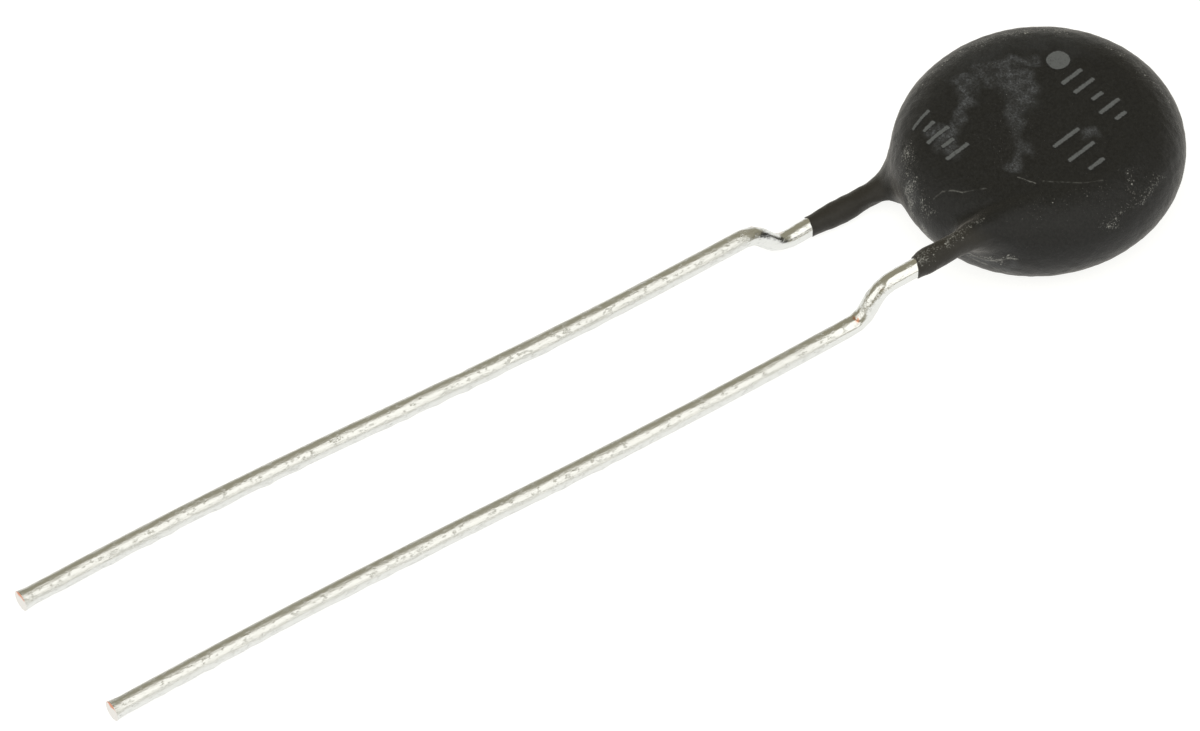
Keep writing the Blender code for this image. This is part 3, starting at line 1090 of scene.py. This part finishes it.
@dataclass
class DippedCoating:
    """The resin skin: full-round disc, sleeves along both leads, and the menisci between them."""

    place: DiscPlace
    routes: tuple[LeadRoute, ...] = (FRONT_ROUTE, BACK_ROUTE)
    radius: float = 7.5
    edge: float = 2.5
    wire_radius: float = 0.5
    rough_wall: float = 0.14
    least_cover: float = 0.022
    sag: float = 0.17
    outer_meniscus: float = 1.5
    meniscus_on_flat: float = 0.02
    outward_band: float = 0.5
    overrun: float = 1.5
    grain: float = 0.115
    settling_rounds: int = 5
    probe: float = 0.01
    least_slope: float = 0.25
    swell_depth: float = 0.008
    pimple_depth: float = 0.02
    lump_depth: float = 0.045
    least_depth: float = 0.001
    sleeve_blend: float = 0.4
    # Waves of a sleeve's torn edge: depth in mm, how many go round the wire, and their phase.
    tears: tuple[tuple[float, int, float], ...] = ((0.02, 2, 1.0), (0.015, 5, 2.0))
    tear_reach: float = 0.4
    # Direction across the wire, as x and z, in which the torn edge runs further down.
    slant_across: tuple[float, float] = (0.82, -0.56)
    stack_radius: float = 6.52
    stack_half: float = 1.35
    bore_clearance: float = 0.004
    solder_size: tuple[float, float, float] = (1.17, 2.22, 0.87)

    def build(self) -> Object:
        """Model the coating and put it in place of its CAD node.

        Returns:
            The finished piece.
        """
        skin = self.rough_form()
        for _ in range(2):
            add_modifier(skin, "REMESH", mode="VOXEL", voxel_size=self.grain)
            self.settle(skin)
        self.roughen(skin)
        for route in self.routes:
            self.cut_sleeve(skin, route)
        self.hollow(skin)
        for route in self.routes:
            self.tear_end(skin, route)
        smooth(skin)
        finish = DippedResin(self.place)
        finish.mark(skin)
        self.place.put(skin)
        give_finishes(skin, finish.build())
        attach(skin, BODY)
        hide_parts("coating")
        return skin

    def rough_form(self) -> Object:
        """Disc with its rim rounded over, and a cylinder along each coated lead.

        Returns:
            The joined form, not yet one skin.
        """
        body = new_primitive(
            bpy.ops.mesh.primitive_cylinder_add, "dipped_coating",
            vertices=120, radius=self.radius, depth=2 * self.edge,
        )
        bpy.ops.object.mode_set(mode="EDIT")
        select_where(body, lambda co: abs(abs(co.z) - self.edge) < NEAR, "EDGE")
        bpy.ops.mesh.bevel(offset=self.edge * 0.998, segments=12, affect="EDGES")
        bpy.ops.object.mode_set(mode="OBJECT")
        sleeves = [self.rough_sleeve(route) for route in self.routes]
        activate(body)
        for sleeve in sleeves:
            sleeve.select_set(True)
        bpy.ops.object.join()
        return body

    def rough_sleeve(self, route: LeadRoute) -> Object:
        """Cylinder round the coated run of one lead, drawn out past its end.

        Args:
            route: route of the lead.

        Returns:
            The cylinder.
        """
        axis = route.sleeve_end - route.inner
        middle = (route.sleeve_end + route.inner) / 2
        sleeve = new_primitive(
            bpy.ops.mesh.primitive_cylinder_add, "sleeve", vertices=32,
            radius=self.wire_radius + self.rough_wall, depth=axis.length,
            location=middle, rotation=axis.to_track_quat("Z", "Y").to_euler(),
        )
        bpy.ops.object.transform_apply(location=True, rotation=True, scale=True)
        bpy.ops.object.mode_set(mode="EDIT")
        select_where(sleeve, lambda co: (co - middle).dot(axis) > 0, "FACE")
        past = axis.normalized() * self.overrun
        bpy.ops.mesh.extrude_region_move(TRANSFORM_OT_translate={"value": past})
        bpy.ops.object.mode_set(mode="OBJECT")
        return sleeve

    def body_distance(self, points: np.ndarray) -> np.ndarray:
        """Distance outside the disc, whose round rim has sagged towards the leads.

        Args:
            points: rows of positions in mm.

        Returns:
            One distance in mm for each position, below 0 inside.
        """
        across = np.hypot(points[:, 0], points[:, 1])
        towards_leads = np.clip(-points[:, 1] / np.maximum(across, 1e-6), 0.0, 1.0)
        out = across - (self.radius - self.edge) - self.sag * towards_leads**1.5
        return np.hypot(np.maximum(out, 0.0), points[:, 2]) - self.edge

    def sleeve_distance(
        self, points: np.ndarray, route: LeadRoute
    ) -> tuple[np.ndarray, np.ndarray, np.ndarray]:
        """Distance outside the sleeve round one lead, which thins towards its end.

        Args:
            points: rows of positions.
            route: the lead's route.

        Returns:
            The distance of each point, the resin between it and the wire, and how far round
            towards +X it lies, from -1 to 1.
        """
        inner = np.array(route.inner)
        axis = np.array(route.sleeve_end) - inner
        share = (points - inner) @ axis / (axis @ axis)
        away = points - inner - np.clip(share, 0.0, None)[:, None] * axis
        gap = np.linalg.norm(away, axis=1)
        side = away[:, 0] / np.maximum(gap, 1e-6)
        from_end = (1.0 - share) * np.linalg.norm(axis)
        wall = np.interp(from_end, *zip(*route.walls))
        wall += np.maximum(np.interp(from_end, *zip(*route.runs)) * side * np.abs(side), 0.0)
        cover = gap - self.wire_radius
        return cover - wall, cover, side

    def dipped_distance(self, points: np.ndarray) -> np.ndarray:
        """Distance outside the dipped surface, with the menisci full at the rim only.

        Args:
            points: rows of positions in mm.

        Returns:
            One distance in mm for each position, below 0 inside.
        """
        reach = (np.hypot(points[:, 0], points[:, 1]) - self.radius + self.edge) / self.edge
        above = (np.abs(points[:, 2]) - self.routes[0].level) / self.outward_band
        outward = np.clip(above + 0.5, 0.0, 1.0)
        result = self.body_distance(points)
        for route in self.routes:
            full = route.meniscus + (self.outer_meniscus - route.meniscus) * outward
            sleeve, _, side = self.sleeve_distance(points, route)
            full = full * (1.0 + route.skew * side * (1.0 - outward))
            draw = full * np.clip(reach, self.meniscus_on_flat, 1.0)
            near = np.clip(1.0 - np.abs(result - sleeve) / draw, 0.0, None)
            result = np.minimum(result, sleeve) - near**2 * draw / 4
        return result

    def settle(self, skin: Object) -> None:
        """Move every vertex down the slope until it lies on the dipped surface.

        Args:
            skin: the coating, still in the part's own frame.
        """
        points, step = mesh_points(skin), self.probe
        for _ in range(self.settling_rounds):
            here = self.dipped_distance(points)
            slope = np.empty_like(points)
            for axis in range(3):
                shift = np.zeros(3)
                shift[axis] = step
                slope[:, axis] = (self.dipped_distance(points + shift) - here) / step
            length = np.maximum((slope**2).sum(axis=1), self.least_slope)
            points -= (here / length)[:, None] * slope
        set_mesh_points(skin, points)

    def roughen(self, skin: Object) -> None:
        """Sink the skin in slow swells, pimples and sleeve lumps, never above its true surface.

        Args:
            skin: the coating, still in the part's own frame.
        """
        points = mesh_points(skin)
        normals = mesh_normals(skin)
        measures = [self.sleeve_distance(points, route) for route in self.routes]
        sleeves = np.min([m[0] for m in measures], axis=0)
        covers = np.min([m[1] for m in measures], axis=0)
        beyond = (self.body_distance(points) - sleeves) / self.sleeve_blend
        on_sleeve = np.clip(beyond, 0.0, 1.0)
        swells, pimples, lumps = (
            np.clip([
                0.5 - 1.1 * noise.noise((Vector(p) + Vector(shift)) / size_mm) for p in points
            ], 0, 1)
            for size_mm, shift in ((2.2, (0, 0, 0)), (0.42, (7, 3, 1)), (0.6, (2, 9, 4)))
        )
        disc = self.swell_depth * swells + self.pimple_depth * pimples
        sleeve = self.lump_depth * lumps + 0.5 * self.pimple_depth * pimples
        depth = self.least_depth + disc + on_sleeve * (sleeve - disc)
        depth = np.minimum(depth, np.maximum(covers - self.least_cover, 0.0))
        set_mesh_points(skin, points - normals * depth[:, None])

    def cut_sleeve(self, skin: Object, route: LeadRoute) -> None:
        """Cut one sleeve square at its end.

        Args:
            skin: the coating, still in the part's own frame.
            route: route of the lead.
        """
        end, right = route.sleeve_end, route.sleeve_x > 0
        activate(skin)
        bpy.ops.object.mode_set(mode="EDIT")
        select_where(skin, lambda co: (co.x > 0) == right and co.y < end.y + 1.0, "FACE")
        bpy.ops.mesh.bisect(
            plane_co=end, plane_no=(0.0, -1.0, 0.0), use_fill=True, clear_outer=True
        )
        bpy.ops.object.mode_set(mode="OBJECT")

    def tear_end(self, skin: Object, route: LeadRoute) -> None:
        """Let the edge of one sleeve's end run a little unevenly round the wire.

        Args:
            skin: the coating, still in the part's own frame.
            route: route of the lead.
        """
        points = mesh_points(skin)
        away = points - np.array(route.sleeve_end)
        angle = np.arctan2(away[:, 2], away[:, 0])
        uneven = sum(deep * np.sin(count * angle + phase) for deep, count, phase in self.tears)
        x_share, z_share = self.slant_across
        uneven += route.slant * (x_share * away[:, 0] + z_share * away[:, 2])
        fade = np.clip(1.0 - away[:, 1] / self.tear_reach, 0.0, 1.0)
        at_end = (away[:, 1] > -0.01) & (away[:, 1] < self.tear_reach)
        near = (np.hypot(away[:, 0], away[:, 2]) < 0.9) & at_end
        points[near, 1] -= (uneven * fade)[near]
        set_mesh_points(skin, points)

    def hollow(self, skin: Object) -> None:
        """Cut the room for the ceramic, its electrodes, the solder and the wires.

        Args:
            skin: the coating, still in the part's own frame.
        """
        room = new_primitive(
            bpy.ops.mesh.primitive_cylinder_add, "stack_room",
            vertices=96, radius=self.stack_radius, depth=2 * self.stack_half,
        )
        bpy.ops.object.mode_set(mode="EDIT")
        select_where(room, lambda co: abs(abs(co.z) - self.stack_half) < NEAR, "EDGE")
        bpy.ops.mesh.bevel(offset=0.2, segments=2, affect="EDGES")
        bpy.ops.object.mode_set(mode="OBJECT")
        cutters = [room]
        for route in self.routes:
            cutters += [self.bore(route), self.solder_room(route)]
        for cutter in cutters:
            add_modifier(skin, "BOOLEAN", object=cutter, operation="DIFFERENCE", solver="EXACT")
        remove(*cutters)

    def bore(self, route: LeadRoute) -> Object:
        """Cutter for the wire's room, open at the sleeve's end.

        Args:
            route: route of the lead.

        Returns:
            The cutter.
        """
        axis = route.sleeve_end - route.inner
        past = axis.normalized() * self.overrun
        start, stop = route.inner, route.sleeve_end + past
        return new_primitive(
            bpy.ops.mesh.primitive_cylinder_add, "bore", vertices=40,
            radius=self.wire_radius + self.bore_clearance, depth=(stop - start).length,
            location=(start + stop) / 2, rotation=axis.to_track_quat("Z", "Y").to_euler(),
        )

    def solder_room(self, route: LeadRoute) -> Object:
        """Cutter for the solder mound round the wire's inner end.

        Args:
            route: route of the lead.

        Returns:
            The cutter.
        """
        axis = (route.sleeve_end - route.inner).normalized()
        middle = route.inner + axis * (self.solder_size[1] - 0.5)
        middle.z = route.side.value * (self.stack_half - 0.01)
        return new_primitive(
            bpy.ops.mesh.primitive_uv_sphere_add, "solder_room",
            segments=32, ring_count=16, radius=1.0, location=middle,
            rotation=(0.0, 0.0, math.atan2(axis.x, -axis.y)), scale=self.solder_size,
        )


@dataclass(frozen=True)
class Dent:
    """Dent that the bending tool left in a wire, in mm, or a blob where its depth is below 0."""

    at: tuple[float, float, float]
    radius: float
    depth: float


@dataclass
class KinkedWire:
    """One tinned wire: soldered run, pressed kink, slightly bowed run, and a sheared end."""

    place: DiscPlace
    route: LeadRoute
    name: str
    node: str
    dents: tuple[Dent, ...] = ()
    wire_radius: float = 0.5
    sides: int = 40
    ring_spacing: float = 0.1
    press_depth: float = 0.07
    press_length: float = 0.45
    press_bulge: float = 0.4
    waver_size: float = 1.3
    waver_depth: float = 0.006
    neck: float = 0.93
    flare: float = 1.12
    drip_height: float = 0.14
    drip_size: float = 0.55
    # Drips start at 0.8 of this length from the soldered end, and are full one length later.
    drips_grow_over: float = 20.0
    drips_held_back: float = 0.8
    # Direction across the straight wire, as y and z, in which the tin hung while it set.
    low_side: tuple[float, float] = (0.73, -0.68)
    tip_length: float = 0.55
    end_crown: float = 0.03
    cut_depth: float = 0.08

    def build(self) -> Object:
        """Model the wire and put it in place of its CAD node.

        Returns:
            The finished piece.
        """
        points = self.route.points()
        lengths = [(b - a).length for a, b in zip(points, points[1:])]
        wire = self.straight_wire(sum(lengths) - self.end_crown)
        self.shape_surface(wire, lengths)
        self.bend(wire, points)
        self.dent(wire)
        smooth(wire)
        self.place.put(wire)
        give_finishes(wire, TinnedWire(self.place).build(), ShearedCopper(self.place).build())
        self.paint_cut(wire)
        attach(wire, BODY)
        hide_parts(self.node)
        return wire

    def straight_wire(self, length: float) -> Object:
        """Straight round wire along +X, cut into rings, with its far end bevelled.

        Args:
            length: length of the wire in mm.

        Returns:
            The wire, with its soldered end at the origin.
        """
        wire = new_primitive(
            bpy.ops.mesh.primitive_cylinder_add, self.name, vertices=self.sides,
            radius=self.wire_radius, depth=length,
            location=(length / 2, 0.0, 0.0), rotation=(0.0, math.pi / 2, 0.0),
        )
        bpy.ops.object.transform_apply(location=True, rotation=True, scale=True)
        bpy.ops.object.mode_set(mode="EDIT")
        bpy.ops.mesh.select_mode(type="EDGE")
        bpy.ops.mesh.select_all(action="DESELECT")
        bm = bmesh.from_edit_mesh(wire.data)
        for edge in bm.edges:
            if abs(edge.verts[0].co.x - edge.verts[1].co.x) > length / 2:
                edge.select_set(True)
        bmesh.update_edit_mesh(wire.data)
        bpy.ops.mesh.subdivide(number_cuts=int(length / self.ring_spacing))
        select_where(wire, lambda co: co.x > length - 1e-3, "FACE")
        for thickness, share in ((0.04, 0.6), (0.2, 0.3)):
            bpy.ops.mesh.inset(thickness=thickness, depth=share * self.end_crown)
        bpy.ops.object.mode_set(mode="OBJECT")
        return wire

    def shape_surface(self, wire: Object, lengths: list[float]) -> None:
        """Press the kink's corners, pinch the cut end, hang drips and let the surface waver.

        Args:
            wire: the straight wire.
            lengths: lengths of the route's pieces, which place the kink's two corners.
        """
        points = mesh_points(wire)
        along = points[:, 0]
        kink_end = len(lengths) - self.route.run_steps
        middle = 2 + kink_end // 2
        first = sum(lengths[:2]) + sum(lengths[2:middle]) / 2
        second = sum(lengths[:middle]) + sum(lengths[middle:kink_end]) / 2
        scale_y, scale_z = np.ones(len(points)), np.ones(len(points))
        for centre in (first, second):
            press = np.exp(-(((along - centre) / self.press_length) ** 2))
            scale_z -= self.press_depth * press
            scale_y += self.press_bulge * self.press_depth * press
        stations = [0.0, 0.2 * self.tip_length, 0.6 * self.tip_length, self.tip_length]
        widths = [self.flare, self.flare, self.neck, 1.0]
        scale = np.interp(sum(lengths) - along, stations, widths)
        waver, drips = (
            np.array([noise.noise(Vector((x / size, *row))) for x in along])
            for size, row in (
                (self.waver_size, (3.0, 5.0)), (self.drip_size, (9.0, self.route.tip_x)),
            )
        )
        scale *= 1.0 - self.waver_depth * (waver + 1.0)
        low_y, low_z = self.low_side
        low = np.clip((low_y * points[:, 1] + low_z * points[:, 2]) / self.wire_radius, 0.0, 1.0)
        grown = np.clip(along / self.drips_grow_over - self.drips_held_back, 0.0, 1.0)
        drips = np.clip(drips, 0.0, 1.0) * low**2 * grown
        scale += self.drip_height / self.wire_radius * drips
        points[:, 1] *= scale * scale_y
        points[:, 2] *= scale * scale_z
        set_mesh_points(wire, points)

    def bend(self, wire: Object, points: list[Vector]) -> None:
        """Bend the straight wire along its route with a guide curve.

        Args:
            wire: the straight wire.
            points: points of its route.
        """
        data = bpy.data.curves.new("guide", "CURVE")
        data.dimensions = "3D"
        data.twist_mode = "Z_UP"
        spline = data.splines.new("POLY")
        spline.points.add(len(points) - 1)
        for point, co in zip(spline.points, points):
            point.co = (*co, 1.0)
        guide = bpy.data.objects.new("guide", data)
        bpy.context.scene.collection.objects.link(guide)
        add_modifier(wire, "CURVE", object=guide, deform_axis="POS_X")
        remove(guide)

    def dent(self, wire: Object) -> None:
        """Press the tool marks into the bent wire.

        Args:
            wire: the wire, still in the part's own frame.
        """
        points = mesh_points(wire)
        normals = mesh_normals(wire)
        for dent in self.dents:
            away = np.linalg.norm(points - np.array(dent.at), axis=1)
            points -= dent.depth * np.exp(-((away / dent.radius) ** 2))[:, None] * normals
        set_mesh_points(wire, points)

    def paint_cut(self, wire: Object) -> None:
        """Give the faces of the sheared end the copper finish.

        Args:
            wire: the finished wire, already in its place.
        """
        tip = self.place.matrix @ self.route.points()[-1]
        back = (self.place.matrix @ self.route.points()[-2] - tip).normalized()
        for face in wire.data.polygons:
            at_tip = (face.center - tip).dot(back) < self.cut_depth * MM
            if at_tip and face.normal.dot(back) < -0.8:
                face.material_index = 1


FRONT_DENTS = (
    Dent((4.05, -12.3, 2.3), 0.6, 0.07),
    Dent((4.75, -12.75, 1.9), 0.2, 0.04),
    Dent((4.51, -13.72, 0.49), 0.16, -0.035),
    Dent((4.6, -14.0, 0.45), 0.2, 0.04),
)
BACK_DENTS = (
    Dent((-3.2, -13.36, -1.48), 0.22, 0.03),
    Dent((-3.1, -13.7, -2.25), 0.7, 0.1),
    Dent((-3.3, -14.3, -0.6), 0.35, 0.04),
    Dent((-3.7, -32.3, 0.3), 0.22, 0.06),
)


class Mark(Enum):
    """Kinds of plain mark printed on the front face."""

    BAR = "bar"
    DOT = "dot"


@dataclass
class PrintedMarks:
    """Plain ink bars and a dot on the front face, which name nothing."""

    place: DiscPlace
    stroke: float = 0.3
    thickness: float = 0.012
    lean: float = 11.0
    cell: float = 0.07
    above_face: float = 2.6
    marks: tuple[tuple[Mark, float, float, float], ...] = (
        (Mark.DOT, -2.75, 2.95, 1.25),
        (Mark.BAR, -1.45, 2.95, 1.45),
        (Mark.BAR, -0.6, 3.15, 1.45),
        (Mark.BAR, 0.35, 3.35, 0.8),
        (Mark.BAR, 1.25, 3.5, 1.45),
        (Mark.BAR, 2.1, 3.65, 0.8),
        (Mark.BAR, 1.8, 0.55, 1.85),
        (Mark.BAR, 3.0, 0.7, 1.85),
        (Mark.BAR, 4.1, 0.9, 1.1),
        (Mark.BAR, -3.5, -5.05, 1.6),
        (Mark.BAR, -2.75, -4.9, 0.9),
        (Mark.BAR, -2.0, -4.8, 1.6),
        (Mark.BAR, -1.25, -4.65, 0.9),
        (Mark.BAR, -0.5, -4.55, 1.6),
    )

    def build(self, coating: Object) -> Object:
        """Model the marks and lay them on the coating.

        Args:
            coating: the finished coating, already in its place.

        Returns:
            The finished piece.
        """
        pieces = [self.blank(*mark) for mark in self.marks]
        ink = pieces[0]
        activate(ink)
        for piece in pieces[1:]:
            piece.select_set(True)
        bpy.ops.object.join()
        ink.name = ink.data.name = "marking_ink"
        self.place.put(ink)
        add_modifier(
            ink, "SHRINKWRAP", target=coating, wrap_method="NEAREST_SURFACEPOINT",
            wrap_mode="ABOVE_SURFACE", offset=0.4 * self.thickness * MM,
        )
        add_modifier(ink, "SOLIDIFY", thickness=self.thickness * MM, offset=1.0)
        smooth(ink)
        give_finishes(ink, MarkingInk(self.place).build())
        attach(ink, BODY)
        return ink

    def blank(self, kind: Mark, x: float, y: float, length: float) -> Object:
        """One flat mark above the face, a bar with drawn-in ends or a round dot.

        Args:
            kind: bar or dot.
            x: place of its middle across the face, in mm.
            y: place of its middle up the face, in mm.
            length: length of the bar or width of the dot, in mm.

        Returns:
            The mark, still flat.
        """
        width = length if kind is Mark.DOT else self.stroke
        blank = new_primitive(
            bpy.ops.mesh.primitive_grid_add, "mark", size=1.0,
            x_subdivisions=max(4, round(width / self.cell)),
            y_subdivisions=max(4, round(length / self.cell)),
        )
        bpy.ops.object.mode_set(mode="EDIT")
        if kind is Mark.DOT:
            self.round_off(blank)
        bpy.ops.mesh.select_all(action="SELECT")
        bpy.ops.transform.resize(value=(width, length, 1.0))
        if kind is Mark.BAR:
            for inset, share in ((0.5, 0.55), (0.75, 0.85)):
                limit = length / 2 - self.cell * inset
                select_where(blank, lambda co: abs(co.y) > limit)
                bpy.ops.transform.resize(value=(share, 1.0, 1.0))
        bpy.ops.object.mode_set(mode="OBJECT")
        self.record_cover(blank)
        blank.matrix_world = (
            Matrix.Translation((x, y, self.above_face))
            @ Matrix.Rotation(math.radians(self.lean), 4, "Z")
        )
        bpy.ops.object.transform_apply(location=True, rotation=True, scale=True)
        return blank

    @staticmethod
    def record_cover(blank: Object) -> None:
        """Note on each vertex how well the ink covers there: fully, or less along the border.

        Args:
            blank: the flat mark.
        """
        bm = bmesh.new()
        bm.from_mesh(blank.data)
        cover = [0.0 if vertex.is_boundary else 1.0 for vertex in bm.verts]
        bm.free()
        blank.data.attributes.new("cover", "FLOAT", "POINT").data.foreach_set("value", cover)

    @staticmethod
    def round_off(blank: Object) -> None:
        """Draw a square grid of side 1 into a disc of the same width.

        Args:
            blank: the grid, in edit mode.
        """
        bm = bmesh.from_edit_mesh(blank.data)
        for vertex in bm.verts:
            x, y = 2 * vertex.co.x, 2 * vertex.co.y
            vertex.co.x = x * math.sqrt(1 - y * y / 2) / 2
            vertex.co.y = y * math.sqrt(1 - x * x / 2) / 2
        bmesh.update_edit_mesh(blank.data)


@dataclass
class CoreStack:
    """The pieces inside the coating, which keep their CAD shapes and get their finishes."""

    place: DiscPlace

    def build(self) -> list[Object]:
        """Dress the ceramic, the electrodes and the solder.

        Returns:
            The dressed CAD nodes.
        """
        dressed = []
        for nodes, finish in (
            # Pressed and sintered: dull, dark grey-brown.
            (("ceramic_disc",), InnerFinish(
                "sintered_oxide_ceramic", "#4a4643", "#2c2a29", 0.0, 0.75, 0.08, self.place)),
            # Printed and fired: satin, warm white.
            (("front_electrode", "back_electrode"), InnerFinish(
                "fired_silver_paste", "#dddad2", "#b9b5aa", 1.0, 0.5, 0.05, self.place)),
            # Melted and set: smooth, bluish white.
            (("front_solder", "back_solder"), InnerFinish(
                "tin_solder", "#d2d3d4", "#a9abad", 1.0, 0.32, 0.3, self.place)),
        ):
            material = finish.build()
            for name in nodes:
                give_finishes(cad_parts[name], material)
                dressed.append(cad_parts[name])
        return dressed


@dataclass
class Studio:
    """Lit white table, soft lights and the camera at the photograph's viewing angle."""

    place: DiscPlace
    pixels_per_mm: float = 19.605
    frame_px: tuple[float, float] = (1200.0, 731.0)
    disc_px: tuple[float, float] = (1039.5, 150.6)
    rise: float = math.radians(51.03)
    bearing: float = math.radians(28.88)
    roll: float = math.radians(-3.64)
    lens: float = 740.0
    sensor_mm: float = 36.0
    floor_size: float = 2.4
    floor_tones: tuple[str, str] = ("#777776", "#7d7d7c")
    floor_glow: float = 0.88
    room_tone: str = "#a09b87"

    def build(self) -> None:
        """Set up the floor, the lights, the surroundings and the camera."""
        self.add_floor()
        self.add_world()
        for name, at, along, size, radiance, reflected in (
            ("softbox", (0.37, 0.08, 0.47), (0.8, 0.0, -0.6), (0.56, 0.94), 1.15, True),
            ("side_card", (0.05, -0.65, 0.47), (0.0, 0.0, 1.0), (0.9, 0.8), 1.05, True),
            ("overhead", (0.1, 0.0, 1.1), (0.0, 1.0, 0.0), (1.4, 1.4), 1.6, False),
        ):
            self.add_light(name, Vector(at), Vector(along), size, radiance, reflected)
        self.set_view()
        self.add_camera(*self.axes())

    def axes(self) -> tuple[Vector, Vector, Vector]:
        """Directions of the camera in the world, turned with the part as it lies.

        Returns:
            Its right, up and backward directions.
        """
        flat, lift = math.cos(self.rise), math.sin(self.rise)
        right = Vector((math.sin(self.bearing), math.cos(self.bearing), 0.0))
        up = Vector((-lift * math.cos(self.bearing), lift * math.sin(self.bearing), flat))
        c, s = math.cos(self.roll), math.sin(self.roll)
        turned_right, turned_up = c * right + s * up, -s * right + c * up
        turn = self.place.turn
        return turn @ turned_right, turn @ turned_up, turn @ right.cross(up)

    def add_floor(self) -> None:
        """Opal acrylic table: matt, even white, lit from below too, with hardly a shadow on it."""
        floor = new_primitive(bpy.ops.mesh.primitive_plane_add, "opal_table", size=self.floor_size)
        material, tree, shader = new_material("white_opal_acrylic")
        haze = add_node(tree, "TexNoise", None, {
            "Vector": add_node(tree, "TexCoord", output="Object"), "Scale": 6.0, "Detail": 2.0,
        })
        connect(tree, shader, {
            "Base Color": layered(tree, self.floor_tones[0], ((haze, self.floor_tones[1]),)),
            "Roughness": 0.9,
            "Emission Color": linear("#fffffd"),
            "Emission Strength": self.floor_glow,
        })
        floor.data.materials.append(material)

    def add_world(self) -> None:
        """Dim, slightly warm room round the set."""
        world = bpy.data.worlds.new("room")
        world.use_nodes = True
        connect(world.node_tree, world.node_tree.nodes["Background"], {
            "Color": linear(self.room_tone), "Strength": 1.0,
        })
        bpy.context.scene.world = world

    @staticmethod
    def add_light(
        name: str,
        at: Vector,
        along: Vector,
        size: tuple[float, float],
        radiance: float,
        reflected: bool,
    ) -> None:
        """Add a soft area light that looks at the middle of the floor.

        Args:
            name: name of the light.
            at: place in metres.
            along: rough direction of its height.
            size: width and height in metres.
            radiance: brightness of its face, where white paper in full light is 1.
            reflected: whether it shows in reflections.
        """
        data = bpy.data.lights.new(name, "AREA")
        data.shape = "RECTANGLE"
        data.size, data.size_y = size
        data.energy = radiance * math.pi * size[0] * size[1]
        light = bpy.data.objects.new(name, data)
        back = at.normalized()
        side = along.cross(back).normalized()
        turn = Matrix((side, back.cross(side), back)).transposed().to_4x4()
        light.matrix_world = Matrix.Translation(at) @ turn
        light.visible_glossy = reflected
        light.visible_camera = False
        bpy.context.scene.collection.objects.link(light)

    @staticmethod
    def set_view() -> None:
        """Plain colours, as a product photograph has them."""
        settings = bpy.context.scene.view_settings
        settings.view_transform = "Standard"
        settings.look = "None"
        settings.exposure = 0.0

    def add_camera(self, right: Vector, up: Vector, back: Vector) -> None:
        """Add a camera whose lens is long enough for a nearly flat view.

        Args:
            right: its right in the world.
            up: its upward direction.
            back: its backward direction.
        """
        scale = self.pixels_per_mm / MM
        across = (self.disc_px[0] - self.frame_px[0] / 2) / scale
        above = (self.frame_px[1] / 2 - self.disc_px[1]) / scale
        middle = self.place.centre - right * across - up * above
        data = bpy.data.cameras.new("camera")
        data.sensor_width = self.sensor_mm
        data.lens = self.lens
        distance = self.frame_px[0] / scale * self.lens / data.sensor_width
        camera = bpy.data.objects.new("camera", data)
        turn = Matrix((right, up, back)).transposed().to_4x4()
        camera.matrix_world = Matrix.Translation(middle + back * distance) @ turn
        bpy.context.scene.collection.objects.link(camera)
        bpy.context.scene.camera = camera


def main() -> None:
    """Build and dress every piece of the part, then the studio."""
    logging.basicConfig(level=logging.INFO, format="%(message)s")
    place = DiscPlace.from_node("ceramic_disc")
    coating = DippedCoating(place).build()
    log.info("%s: %d faces", coating.name, len(coating.data.polygons))
    for route, name, node, dents in (
        (FRONT_ROUTE, "front_wire", "front_lead", FRONT_DENTS),
        (BACK_ROUTE, "back_wire", "back_lead", BACK_DENTS),
    ):
        wire = KinkedWire(place, route, name, node, dents).build()
        log.info("%s: %d faces", wire.name, len(wire.data.polygons))
    ink = PrintedMarks(place).build(coating)
    log.info("%s: %d faces", ink.name, len(ink.data.polygons))
    for node in CoreStack(place).build():
        log.info("%s dressed", node.name)
    Studio(place).build()


if __name__ == "__main__":
    main()
